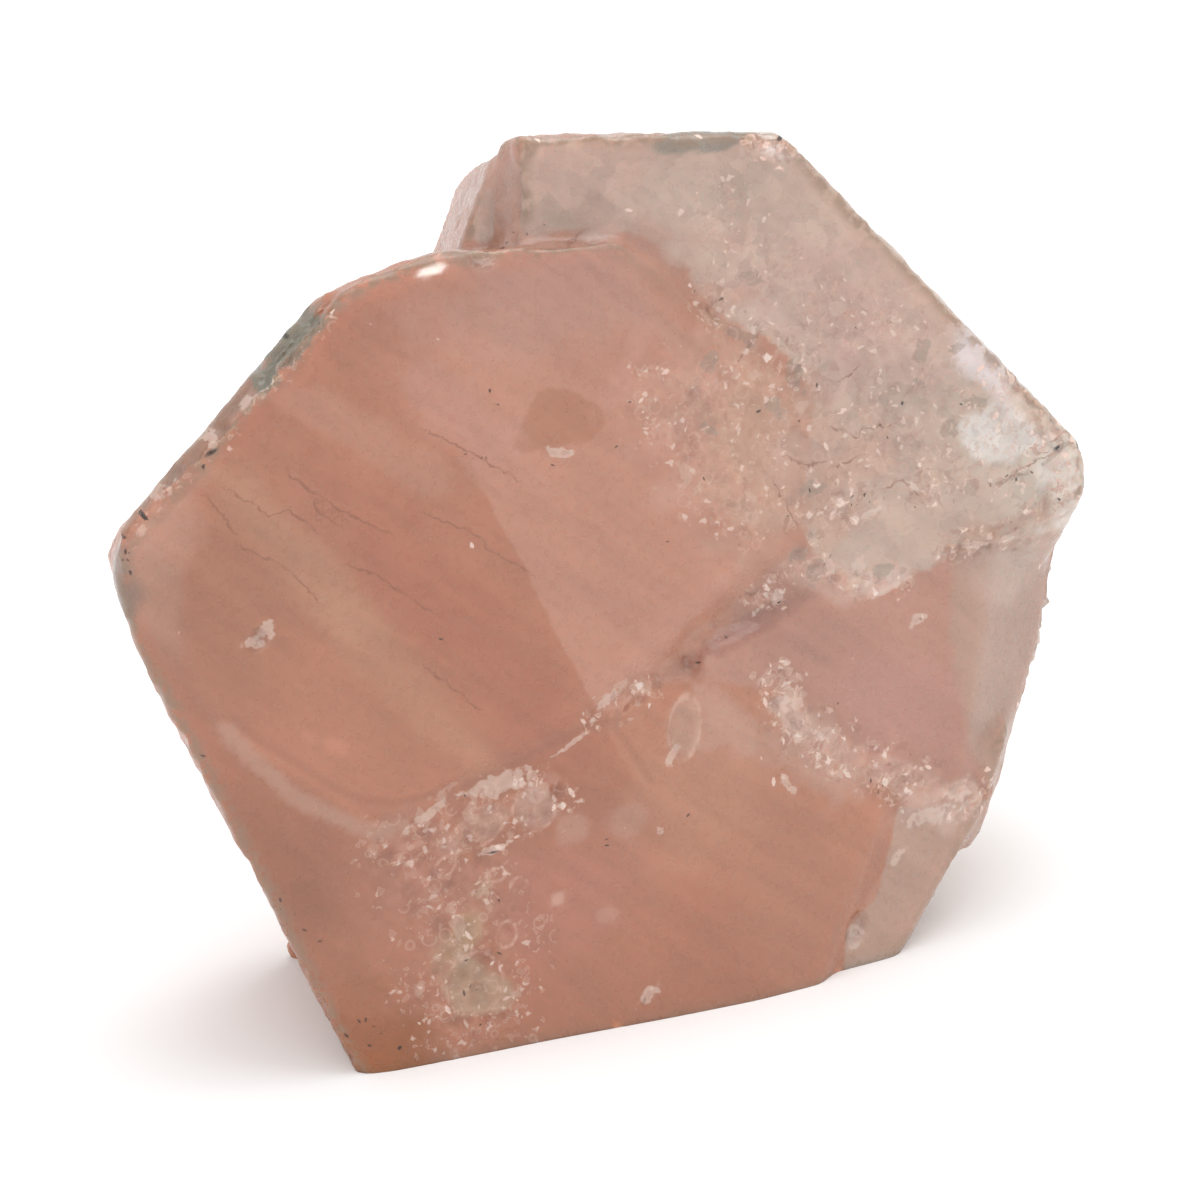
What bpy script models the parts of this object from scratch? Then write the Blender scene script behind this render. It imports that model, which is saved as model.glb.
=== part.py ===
"""Morganite specimen: two stubby hexagonal beryl prisms grown into one another, standing on a flat foot.

Run with: blender --background --python part.py

The crystal is described in its own frame, in millimetres: U runs right across the end face, V up it, and
W out of it. Every block is a half-space cut shape: an end face, a back, and sides given by the bearing of
their outward normal, their distance from the block's centre and their taper, as a crystal drawing gives
them. The blocks are fused, etched, leaned back and cut off flat at the foot. The object is in metres.
"""

import math
from dataclasses import dataclass

import bmesh
import bpy
from mathutils import Matrix, Vector, noise

MM = 0.001

# How the crystal stands: its end face leans back and is turned a little about the vertical.
FACE_LEAN_DEG = 10.0
FACE_TURN_DEG = 5.0

# Levels of the end face along W, mm. The upper growth plate stands proudest.
UPPER_PLATE_LEVEL = 0.8
LOWER_PLATE_LEVEL = 0.3
CORE_LEVEL = -1.6
RIGHT_PLATE_LEVEL = -0.2
REAR_PLATE_LEVEL = -0.9
FOOT_PLATE_LEVEL = -1.3
REAR_LEVEL = -4.6
CORE_BACK = -19.5
REAR_BACK = -24.0
PLATE_ROOT = -4.1

# Both growth plates are roofs with one low ridge, whose across direction has this bearing.
RIDGE_BEARING_DEG = 20.6
RIDGE_FALL_DEG = 3.6

# Working fineness, and the triangles of the whole body before its foot is cut off.
FUSE_VOXEL_MM = 0.5
EDGE_WEAR_PASSES = 2
FULL_BODY_TRIANGLES = 12200

CRYSTAL_COLOUR = (0.52, 0.245, 0.17, 1.0)


@dataclass(frozen=True)
class Side:
    """A side face: bearing of its outward normal from U, distance at the end face, lean in towards the back."""

    bearing: float
    distance: float
    taper: float = 0.0


@dataclass(frozen=True)
class End:
    """A face across the W axis, through (u, v, level), falling by `fall` degrees towards `bearing`."""

    level: float
    bearing: float = 0.0
    fall: float = 0.0
    u: float = 0.0
    v: float = 0.0


@dataclass(frozen=True)
class Block:
    """One convex piece of crystal, kept inside all of its faces."""

    name: str
    centre: tuple
    ends: tuple
    backs: tuple
    sides: tuple
    wear: float = 0.5


@dataclass(frozen=True)
class EtchedBand:
    """A band of dissolved, cratered surface along a polyline of (u, v) on the end face."""

    route: tuple
    half_width: float
    depth: float
    crater: float


@dataclass(frozen=True)
class Scoop:
    """A shell-like chip out of the end face: centre, half length, half width, turn and depth."""

    centre: tuple
    half_length: float
    half_width: float
    turn: float
    depth: float


def roof(level, u, v):
    """The two faces of a plate, falling away to both sides of the ridge through (u, v)."""
    return (
        End(level, RIDGE_BEARING_DEG, RIDGE_FALL_DEG, u, v),
        End(level, RIDGE_BEARING_DEG + 180, RIDGE_FALL_DEG, u, v),
    )


BLOCKS = (
    Block(
        name="core_prism",
        centre=(-4.0, 27.0),
        ends=(End(CORE_LEVEL, 0, 1.5),),
        backs=(End(CORE_BACK, 200, 6), End(CORE_BACK - 1.5, 60, 9)),
        sides=(
            Side(-169, 20.3, 11),
            Side(-161, 19.6, 10),
            Side(165, 22.0, 12),
            Side(130, 19.0, 16),
            Side(102, 19.8, 13),
            Side(85, 20.0, 12),
            Side(52, 22.0, 6),
            Side(38, 21.2, 4),
            Side(12, 23.2, 2),
            Side(-29, 28.9, 2),
        ),
        wear=0.9,
    ),
    Block(
        name="rear_prism",
        centre=(18.0, 28.0),
        ends=(End(REAR_LEVEL, 70, 3.5, 18, 26),),
        backs=(End(REAR_BACK, 30, 5), End(REAR_BACK - 1.0, 250, 8)),
        sides=(
            Side(176, 20.5, 3),
            Side(153, 26.0, 12),
            Side(126, 29.2, 13),
            Side(84, 22.2, 9),
            Side(38.5, 14.3, 0),
            Side(2, 17.5, 1),
            Side(-35, 15.3, 2),
            Side(-80, 12.0, 2),
        ),
        wear=0.45,
    ),
    Block(
        name="rear_foot",
        centre=(18.0, 28.0),
        ends=(End(REAR_LEVEL - 0.5, -25, 6, 24, 12),),
        backs=(End(REAR_BACK + 1.5, 40, 7),),
        sides=(
            Side(95, -2.0, 4),
            Side(180, 10.0),
            Side(-14, 15.4, 2),
            Side(-27, 17.1, 3),
            Side(-40, 19.9, 3),
        ),
        wear=0.45,
    ),
    Block(
        name="rear_plate",
        centre=(18.0, 28.0),
        ends=(End(REAR_PLATE_LEVEL, 180, 3.0, 14, 36),),
        backs=(End(REAR_LEVEL - 1.0),),
        sides=(
            Side(172, 19.4, -8),
            Side(153, 27.1, 17),
            Side(126, 30.1, 13),
            Side(82.5, 22.4, 2),
            Side(38.5, 13.5, -13),
            Side(2, 16.2, -22),
            Side(-35, 14.1, -22),
            Side(-81.5, 5.0, -45),
        ),
        wear=0.4,
    ),
    Block(
        name="foot_plate",
        centre=(18.0, 28.0),
        ends=(End(FOOT_PLATE_LEVEL, -25, 5.0, 20, 6),),
        backs=(End(REAR_LEVEL - 1.5),),
        sides=(
            Side(95, -16.5, -20),
            Side(180, 8.0),
            Side(-14, 14.1, -22),
            Side(-27, 15.7, -22),
            Side(-40, 18.5, -22),
        ),
        wear=0.4,
    ),
    Block(
        name="right_plate",
        centre=(22.0, 18.0),
        ends=(End(RIGHT_PLATE_LEVEL, -8, 4.0, 15, 18),),
        backs=(End(REAR_LEVEL - 1.2),),
        sides=(
            Side(101, 6.0, -30),
            Side(75, 6.8, -34),
            Side(-14, 2.8, -55),
            Side(-27, 7.7, -20),
            Side(-116, 6.5, -38),
            Side(180, 14.0),
        ),
        wear=0.4,
    ),
    Block(
        name="lower_plate",
        centre=(0.0, 12.0),
        ends=roof(LOWER_PLATE_LEVEL, 4.1, 13.2),
        backs=(End(PLATE_ROOT),),
        sides=(
            Side(-161, 17.8, 10),
            Side(80, 8.2, -45),
            Side(37, 14.0, -45),
            Side(-29, 17.6, -16),
        ),
        wear=0.6,
    ),
    Block(
        name="upper_plate",
        centre=(-5.0, 33.0),
        ends=roof(UPPER_PLATE_LEVEL, -1.6, 26.6),
        backs=(End(PLATE_ROOT),),
        sides=(
            Side(-174, 20.9, 9),
            Side(130, 13.5, 16),
            Side(102, 13.9, 14),
            Side(85, 14.2, 12),
            Side(51, 16.9, -12),
            Side(36, 17.2, -16),
            Side(-14, 15.8, -70),
            Side(-54, 13.7, -60),
            Side(-74, 14.4, -32),
            Side(-134, 17.5, -42),
            Side(-155, 18.8, 6),
        ),
        wear=0.5,
    ),
)

ETCHED_BANDS = (
    # below the fold of the upper plate
    EtchedBand(((-12.0, 13.0), (-6.5, 14.6), (-2.5, 14.6)), 2.2, 0.35, 2.6),
    EtchedBand(((-10.0, 11.0), (-8.4, 7.0), (-8.3, 3.4)), 4.0, 0.35, 2.9),
    # from the ridge up to the rear prism, then along the foot of it
    EtchedBand(((1.8, 18.6), (5.0, 19.3), (8.5, 21.4), (12.0, 24.0)), 1.4, 0.22, 2.2),
    EtchedBand(((12.0, 24.0), (15.0, 27.4), (18.0, 25.2), (20.6, 23.8)), 2.0, 0.35, 2.5),
    EtchedBand(((20.6, 24.4), (25.0, 25.0), (30.6, 25.6)), 1.6, 0.35, 2.3),
    # along the foot of the right plate
    EtchedBand(((12.5, 18.4), (14.1, 16.0), (17.1, 13.2), (21.3, 10.5), (26.0, 9.2)), 1.8, 0.38, 2.3),
    # the rear prism's end
    EtchedBand(((13.2, 36.4), (18.2, 34.4), (23.2, 32.9), (30.7, 31.4)), 4.0, 0.25, 3.2),
    EtchedBand(((9.6, 44.3), (13.4, 39.9), (17.2, 35.4)), 2.2, 0.22, 2.6),
    EtchedBand(((27.7, 38.4), (30.7, 35.0), (33.6, 30.0), (33.6, 26.6)), 1.8, 0.35, 2.6),
    # the worn upper left edge
    EtchedBand(((-25.0, 34.6), (-20.7, 38.0), (-15.9, 41.4), (-12.0, 44.8)), 2.0, 0.4, 2.8),
)

SCOOPS = (
    Scoop((0.8, 36.4), 3.4, 1.9, 25, 0.12),
    Scoop((6.4, 17.1), 1.9, 1.0, 78, 0.3),
    Scoop((-18.0, 27.1), 0.9, 0.8, 60, 0.25),
    Scoop((-1.9, 46.0), 1.1, 0.8, -20, 0.35),
    Scoop((16.6, 3.0), 1.7, 1.1, 60, 0.4),
)


def clear_scene():
    """Remove whatever the file holds."""
    for obj in list(bpy.data.objects):
        bpy.data.objects.remove(obj, do_unlink=True)


def direction(bearing):
    """The unit vector of a bearing across the end face."""
    angle = math.radians(bearing)
    return Vector((math.cos(angle), math.sin(angle), 0.0))


def end_plane(end, outward):
    """A point on an end face and its outward normal; outward is 1 at the front and -1 at the back."""
    fall = math.radians(end.fall)
    normal = direction(end.bearing) * math.sin(fall) + Vector((0, 0, outward * math.cos(fall)))
    return Vector((end.u, end.v, end.level)), normal


def side_plane(block, side):
    """A point on a side face, at the level of the block's end, and its outward normal."""
    taper = math.radians(side.taper)
    out = direction(side.bearing)
    point = Vector((*block.centre, block.ends[0].level)) + out * side.distance
    return point, out * math.cos(taper) - Vector((0, 0, math.sin(taper)))


def cut(bm, point, normal):
    """Keep what lies behind the plane, and close the cut."""
    geometry = bm.verts[:] + bm.edges[:] + bm.faces[:]
    bmesh.ops.bisect_plane(bm, geom=geometry, plane_co=point, plane_no=normal, clear_outer=True)
    rim = [edge for edge in bm.edges if edge.is_boundary]
    if rim:
        bmesh.ops.edgeloop_fill(bm, edges=rim)


def add_block(target, block):
    """Cut one block out of a cube and add it to the target mesh, its edges worn round."""
    bm = bmesh.new()
    bmesh.ops.create_cube(bm, size=160.0)
    for end in block.ends:
        cut(bm, *end_plane(end, 1))
    for back in block.backs:
        cut(bm, *end_plane(back, -1))
    for side in block.sides:
        cut(bm, *side_plane(block, side))
    bmesh.ops.remove_doubles(bm, verts=bm.verts, dist=0.01)
    bmesh.ops.bevel(
        bm, geom=bm.edges[:], offset=block.wear, segments=2, profile=0.5, affect="EDGES", material=-1
    )
    bmesh.ops.recalc_face_normals(bm, faces=bm.faces)
    piece = bpy.data.meshes.new(block.name)
    bm.to_mesh(piece)
    bm.free()
    target.from_mesh(piece)
    bpy.data.meshes.remove(piece)


def evaluated_mesh(obj):
    """The object's mesh with its modifiers applied."""
    graph = bpy.context.evaluated_depsgraph_get()
    return bpy.data.meshes.new_from_object(obj.evaluated_get(graph))


def apply_modifiers(obj):
    """Replace the object's mesh by its evaluated one and drop the modifiers."""
    old = obj.data
    obj.data = evaluated_mesh(obj)
    obj.modifiers.clear()
    bpy.data.meshes.remove(old)


def fused_blocks(collection):
    """All blocks as one closed skin of even, small faces."""
    bm = bmesh.new()
    for block in BLOCKS:
        add_block(bm, block)
    mesh = bpy.data.meshes.new("crystal")
    bm.to_mesh(mesh)
    bm.free()
    crystal = bpy.data.objects.new("morganite_crystal", mesh)
    collection.objects.link(crystal)
    fuse = crystal.modifiers.new("fuse", "REMESH")
    fuse.mode = "VOXEL"
    fuse.voxel_size = FUSE_VOXEL_MM
    apply_modifiers(crystal)
    return crystal


def distance_to_route(point, route):
    """Distance across the end face from a point to a polyline."""
    nearest = math.inf
    for start, end in zip(route, route[1:]):
        a, b = Vector(start), Vector(end)
        run = b - a
        share = max(0.0, min(1.0, (point - a).dot(run) / run.length_squared))
        nearest = min(nearest, (point - a - run * share).length)
    return nearest


def fade(value):
    """Smooth step from 0 to 1."""
    value = max(0.0, min(1.0, value))
    return value * value * (3.0 - 2.0 * value)


def crater(point, size):
    """Cratered relief from -1 in a crater's floor to 0.4 on the rims between craters."""
    distances, _ = noise.voronoi(point / size)
    rim = min(1.0, (distances[1] - distances[0]) * 1.6)
    return 0.4 - 1.4 * fade(rim)


def end_relief(point, across):
    """Etching and chips on the end face, mm along the normal."""
    height = 0.0
    for band in ETCHED_BANDS:
        ragged = 1.0 + 0.45 * noise.noise(point * 0.5)
        strength = fade(1.6 * (1.0 - distance_to_route(across, band.route) / (band.half_width * ragged)))
        if strength > 0.0:
            height += strength * band.depth * crater(point, band.crater)
    for scoop in SCOOPS:
        along = direction(scoop.turn).xy
        offset = across - Vector(scoop.centre)
        length_share = offset.dot(along) / scoop.half_length
        width_share = offset.dot(Vector((-along.y, along.x))) / scoop.half_width
        inside = 1.0 - length_share**2 - width_share**2
        if inside > 0.0:
            height -= scoop.depth * min(1.0, 1.8 * inside)
    return height


def side_relief(point):
    """Prism faces: grooves along the W axis and a little pitting."""
    groove = noise.noise(Vector((point.x * 0.55, point.y * 0.55, point.z * 0.07)))
    pitting = crater(point, 3.0) * fade(noise.noise(point * 0.14 + Vector((7, 3, 5))) * 3.0)
    return 0.22 * groove + 0.24 * pitting


def back_relief(point):
    """The broken back: flat ledges in steps, with torn edges between them."""
    field = noise.fractal(point * 0.07 + Vector((3, 11, 2)), 1.0, 2.0, 3)
    ledges = 5.0 * field
    step = math.floor(ledges) + fade((ledges - math.floor(ledges)) * 4.0)
    return 0.5 * step + 0.16 * noise.noise(point * 0.5)


def relief(point, normal):
    """Height of the surface detail, mm along the normal."""
    front = fade((normal.z - 0.35) * 4.0)
    back = fade((-normal.z - 0.45) * 4.0)
    height = 0.1 * noise.noise(point * 0.13)
    if front > 0.0:
        height += front * end_relief(point, point.xy)
    if back > 0.0:
        height += back * back_relief(point)
    if front + back < 1.0:
        height += (1.0 - front - back) * side_relief(point)
    return height


def etch(crystal):
    """Wear the sharp edges a little, then move every vertex by the relief."""
    bm = bmesh.new()
    bm.from_mesh(crystal.data)
    for _ in range(EDGE_WEAR_PASSES):
        bmesh.ops.smooth_vert(
            bm, verts=bm.verts, factor=0.5, use_axis_x=True, use_axis_y=True, use_axis_z=True
        )
    bm.normal_update()
    moves = [vertex.normal * relief(vertex.co, vertex.normal) for vertex in bm.verts]
    for vertex, move in zip(bm.verts, moves):
        vertex.co += move
    bm.to_mesh(crystal.data)
    bm.free()


def simplify(crystal):
    """Keep the form with far fewer, uneven triangles."""
    crystal.data.calc_loop_triangles()
    thin = crystal.modifiers.new("thin", "DECIMATE")
    thin.ratio = FULL_BODY_TRIANGLES / len(crystal.data.loop_triangles)
    thin.use_collapse_triangulate = True
    apply_modifiers(crystal)


def stand_up(crystal):
    """Turn the crystal into its standing place, in metres, and cut the foot flat."""
    yaw = math.radians(FACE_TURN_DEG)
    lean = math.radians(FACE_LEAN_DEG)
    w_axis = Vector(
        (math.sin(yaw) * math.cos(lean), -math.cos(yaw) * math.cos(lean), math.sin(lean))
    )
    u_axis = Vector((math.cos(yaw), math.sin(yaw), 0.0))
    v_axis = w_axis.cross(u_axis)
    frame = Matrix((u_axis, v_axis, w_axis)).transposed()
    crystal.data.transform(frame.to_4x4() @ Matrix.Scale(MM, 4))
    bm = bmesh.new()
    bm.from_mesh(crystal.data)
    cut(bm, Vector((0.0, 0.0, 0.0)), Vector((0.0, 0.0, -1.0)))
    bmesh.ops.triangulate(bm, faces=bm.faces)
    bm.to_mesh(crystal.data)
    bm.free()


def centre_over_origin(crystal):
    """Put the origin at the middle of the bounding box's underside."""
    corners = [vertex.co for vertex in crystal.data.vertices]
    low = Vector([min(corner[axis] for corner in corners) for axis in range(3)])
    high = Vector([max(corner[axis] for corner in corners) for axis in range(3)])
    middle = (low + high) / 2
    crystal.data.transform(Matrix.Translation((-middle.x, -middle.y, -low.z)))


def morganite_material():
    """Peach pink beryl, waxy from etching."""
    material = bpy.data.materials.new("morganite")
    material.use_nodes = True
    shader = material.node_tree.nodes["Principled BSDF"]
    shader.inputs["Base Color"].default_value = CRYSTAL_COLOUR
    shader.inputs["Roughness"].default_value = 0.32
    shader.inputs["Metallic"].default_value = 0.0
    shader.inputs["IOR"].default_value = 1.58
    shader.inputs["Transmission Weight"].default_value = 0.3
    return material


def main():
    """Build the specimen."""
    clear_scene()
    collection = bpy.data.collections.new("morganite_specimen")
    bpy.context.scene.collection.children.link(collection)
    crystal = fused_blocks(collection)
    etch(crystal)
    simplify(crystal)
    stand_up(crystal)
    centre_over_origin(crystal)
    crystal.data.materials.clear()
    crystal.data.materials.append(morganite_material())
    crystal.data.shade_flat()


main()
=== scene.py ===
"""The looks of a morganite specimen: fine crystal skin, beryl shader, paper table and soft studio light."""

import logging
import math
from dataclasses import dataclass
from enum import Enum

import bmesh
import bpy
import numpy as np
from mathutils import Matrix, Vector, noise


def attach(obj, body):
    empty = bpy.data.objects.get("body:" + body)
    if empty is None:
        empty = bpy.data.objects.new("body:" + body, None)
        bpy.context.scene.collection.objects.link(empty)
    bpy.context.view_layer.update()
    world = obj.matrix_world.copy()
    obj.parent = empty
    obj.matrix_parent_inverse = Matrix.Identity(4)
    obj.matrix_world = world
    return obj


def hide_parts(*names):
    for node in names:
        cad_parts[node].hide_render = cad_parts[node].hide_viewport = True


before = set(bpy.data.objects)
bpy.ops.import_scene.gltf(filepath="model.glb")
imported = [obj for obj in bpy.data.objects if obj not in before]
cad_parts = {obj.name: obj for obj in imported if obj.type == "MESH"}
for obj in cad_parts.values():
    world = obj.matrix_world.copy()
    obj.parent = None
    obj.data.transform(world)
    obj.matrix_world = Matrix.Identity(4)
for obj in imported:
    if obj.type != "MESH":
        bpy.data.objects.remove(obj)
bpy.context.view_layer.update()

LOG = logging.getLogger("morganite")

MM = 0.001

# The crystal's own frame: U right across the end face, V up it, W out of it, in millimetres.
FACE_LEAN_DEG = 10.0
FACE_TURN_DEG = 5.0
CRYSTAL_ORIGIN_MM = (-4.477, -15.277, 0.0)

# Levels of the end faces along W.
UPPER_PLATE_LEVEL = 0.8
LOWER_PLATE_LEVEL = 0.3
CORE_LEVEL = -1.6
RIGHT_PLATE_LEVEL = -0.2
REAR_PLATE_LEVEL = -0.9
FOOT_PLATE_LEVEL = -1.3
REAR_LEVEL = -4.6
CORE_BACK = -19.5
REAR_BACK = -24.0
PLATE_ROOT = -4.1

# The low ridge between the two upper end faces.
RIDGE_MIDDLE = (-1.6, 26.6)
RIDGE_BEARING_DEG = 20.6
RIDGE_FALL_DEG = 3.6

# The cube that every block is cut from, and how near two corners merge.
RAW_CUBE = 160.0
WELD = 0.01

Point = tuple[float, float]
Place = tuple[float, float, float]
Pair = tuple[np.ndarray, np.ndarray]
Value = bpy.types.NodeSocket | float | tuple


def crystal_matrix() -> Matrix:
    """Work out how the crystal stands.

    Returns:
        The matrix from the crystal's own millimetres to the standing specimen in metres.
    """
    yaw = math.radians(FACE_TURN_DEG)
    lean = math.radians(FACE_LEAN_DEG)
    w_axis = Vector((math.sin(yaw) * math.cos(lean), -math.cos(yaw) * math.cos(lean), math.sin(lean)))
    u_axis = Vector((math.cos(yaw), math.sin(yaw), 0.0))
    turn = Matrix((u_axis, w_axis.cross(u_axis), w_axis)).transposed().to_4x4()
    return Matrix.Scale(MM, 4) @ Matrix.Translation(CRYSTAL_ORIGIN_MM) @ turn


def tint(code: str) -> tuple[float, float, float, float]:
    """Turn a six digit colour code into linear light.

    Args:
        code: red, green and blue, two hexadecimal digits each.

    Returns:
        Linear red, green, blue and an alpha of one.
    """
    shades = [int(code[place : place + 2], 16) / 255 for place in (0, 2, 4)]
    linear = [shade / 12.92 if shade <= 0.04045 else ((shade + 0.055) / 1.055) ** 2.4 for shade in shades]
    return (linear[0], linear[1], linear[2], 1.0)


def bearing_vector(bearing: float) -> Vector:
    """Return the unit vector of a bearing across the end face."""
    angle = math.radians(bearing)
    return Vector((math.cos(angle), math.sin(angle), 0.0))


def fade(value: float) -> float:
    """Return the smooth step of a value from 0 to 1."""
    value = max(0.0, min(1.0, value))
    return value * value * (3.0 - 2.0 * value)


def smooth_share(values: np.ndarray) -> np.ndarray:
    """Return the smooth step of many values from 0 to 1."""
    values = np.clip(values, 0.0, 1.0)
    return values * values * (3.0 - 2.0 * values)


def oval_shares(points: np.ndarray, centre: Point, radii: Point, turn: float) -> Pair:
    """Return how far each point lies along and across an oval, in its own radii.

    Args:
        points: rows of u, v and anything else.
        centre: the oval's middle.
        radii: half its length and half its width.
        turn: the bearing of its length, in degrees.

    Returns:
        The shares along and across, 1 on the oval's rim.
    """
    along = np.array(bearing_vector(turn).xy)
    offset = points[:, :2] - np.array(centre)
    return offset @ along / radii[0], offset @ np.array((-along[1], along[0])) / radii[1]


def segment_offsets(points: np.ndarray, start: Point, end: Point) -> Pair:
    """Return where each point lies from a straight segment.

    Args:
        points: rows of u, v and anything else.
        start: the segment's first end.
        end: its other end.

    Returns:
        The distance in millimetres, and 1 or -1 for the side.
    """
    first, run = np.array(start), np.array(end) - np.array(start)
    offset = points[:, :2] - first
    share = np.clip(offset @ run / (run @ run), 0.0, 1.0)
    distance = np.linalg.norm(offset - share[:, None] * run, axis=1)
    return distance, np.sign(run[0] * offset[:, 1] - run[1] * offset[:, 0])


def route_distance(points: np.ndarray, route: tuple[Point, ...]) -> np.ndarray:
    """Return each point's distance from a polyline, across the end face.

    Args:
        points: rows of u, v and anything else.
        route: the polyline's corners.

    Returns:
        One distance per point, in millimetres.
    """
    return np.min([segment_offsets(points, *ends)[0] for ends in zip(route, route[1:])], axis=0)


def outline_depth(points: np.ndarray, outline: tuple[Point, ...]) -> np.ndarray:
    """Return how deep each point lies inside an outline; points outside it are below zero.

    Args:
        points: rows of u, v and anything else.
        outline: the closed outline's corners.

    Returns:
        One signed distance per point, in millimetres.
    """
    closed = outline + outline[:1]
    inside = np.zeros(len(points), dtype=bool)
    for (u0, v0), (u1, v1) in zip(closed, closed[1:]):
        spans = (v0 > points[:, 1]) != (v1 > points[:, 1])
        if v0 != v1:
            crossing = u0 + (points[:, 1] - v0) * (u1 - u0) / (v1 - v0)
            inside ^= spans & (points[:, 0] < crossing)
    distance = route_distance(points, closed)
    return np.where(inside, distance, -distance)


def veil(points: np.ndarray, scale: float, shift: Place, fall: float, octaves: int) -> np.ndarray:
    """Return fractal noise around zero at many points.

    Args:
        points: rows of u, v, w.
        scale: noise cells a millimetre.
        shift: where in the noise the crystal starts.
        fall: how fast the finer octaves fade.
        octaves: how many of them there are.

    Returns:
        One value per point.
    """
    start = Vector(shift)
    return np.array([noise.fractal(Vector(point) * scale + start, fall, 2.0, octaves) for point in points])


@dataclass(frozen=True)
class Side:
    """A side face: bearing of its outward normal, distance at the end face, lean in towards the back."""

    bearing: float
    distance: float
    taper: float = 0.0


@dataclass(frozen=True)
class End:
    """A face across the W axis, through (u, v, level), falling by some degrees towards a bearing."""

    level: float
    bearing: float = 0.0
    fall: float = 0.0
    u: float = 0.0
    v: float = 0.0

    def plane(self, outward: int) -> tuple[Vector, Vector]:
        """Return the face's plane.

        Args:
            outward: 1 for a front face and -1 for a back.

        Returns:
            A point on it and its outward normal.
        """
        fall = math.radians(self.fall)
        normal = bearing_vector(self.bearing) * math.sin(fall)
        return Vector((self.u, self.v, self.level)), normal + Vector((0, 0, outward * math.cos(fall)))


@dataclass(frozen=True)
class Block:
    """One convex growth block, kept inside all of its faces."""

    name: str
    centre: Point
    ends: tuple[End, ...]
    backs: tuple[End, ...]
    sides: tuple[Side, ...]
    wear: float

    def planes(self) -> list[tuple[Vector, Vector]]:
        """Gather the planes of all faces.

        Returns:
            A point and an outward normal for each.
        """
        found = [end.plane(1) for end in self.ends] + [back.plane(-1) for back in self.backs]
        for side in self.sides:
            taper = math.radians(side.taper)
            out = bearing_vector(side.bearing)
            point = Vector((*self.centre, self.ends[0].level)) + out * side.distance
            found.append((point, out * math.cos(taper) - Vector((0, 0, math.sin(taper)))))
        return found

    def mesh(self) -> bmesh.types.BMesh:
        """Cut the block out of a cube and wear its edges round.

        Returns:
            A closed bmesh in the crystal's frame.
        """
        bm = bmesh.new()
        bmesh.ops.create_cube(bm, size=RAW_CUBE)
        for point, normal in self.planes():
            cut(bm, point, normal)
        bmesh.ops.remove_doubles(bm, verts=bm.verts, dist=WELD)
        bmesh.ops.bevel(
            bm, geom=bm.edges[:], offset=self.wear, segments=3, profile=0.5, affect="EDGES", material=-1
        )
        bmesh.ops.recalc_face_normals(bm, faces=bm.faces)
        return bm


def cut(bm: bmesh.types.BMesh, point: Vector, normal: Vector) -> None:
    """Keep what lies behind a plane, and close the cut.

    Args:
        bm: the mesh to cut.
        point: a point on the plane.
        normal: the plane's normal, towards what goes.
    """
    geometry = bm.verts[:] + bm.edges[:] + bm.faces[:]
    bmesh.ops.bisect_plane(bm, geom=geometry, plane_co=point, plane_no=normal, clear_outer=True)
    rim = [edge for edge in bm.edges if edge.is_boundary]
    if rim:
        bmesh.ops.edgeloop_fill(bm, edges=rim)


def roof(level: float, u: float, v: float) -> tuple[End, End]:
    """Return the two faces of a plate, falling away on both sides of the ridge.

    Args:
        level: height of the ridge along W, in millimetres.
        u: where the ridge runs, across the end face.
        v: where the ridge runs, up the end face.

    Returns:
        The right face and the left face.
    """
    return (
        End(level, RIDGE_BEARING_DEG, RIDGE_FALL_DEG, u, v),
        End(level, RIDGE_BEARING_DEG + 180, RIDGE_FALL_DEG, u, v),
    )


def sides(*faces: tuple[float, ...]) -> tuple[Side, ...]:
    """Return side faces from rows of bearing, distance and taper."""
    return tuple(Side(*face) for face in faces)


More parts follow.
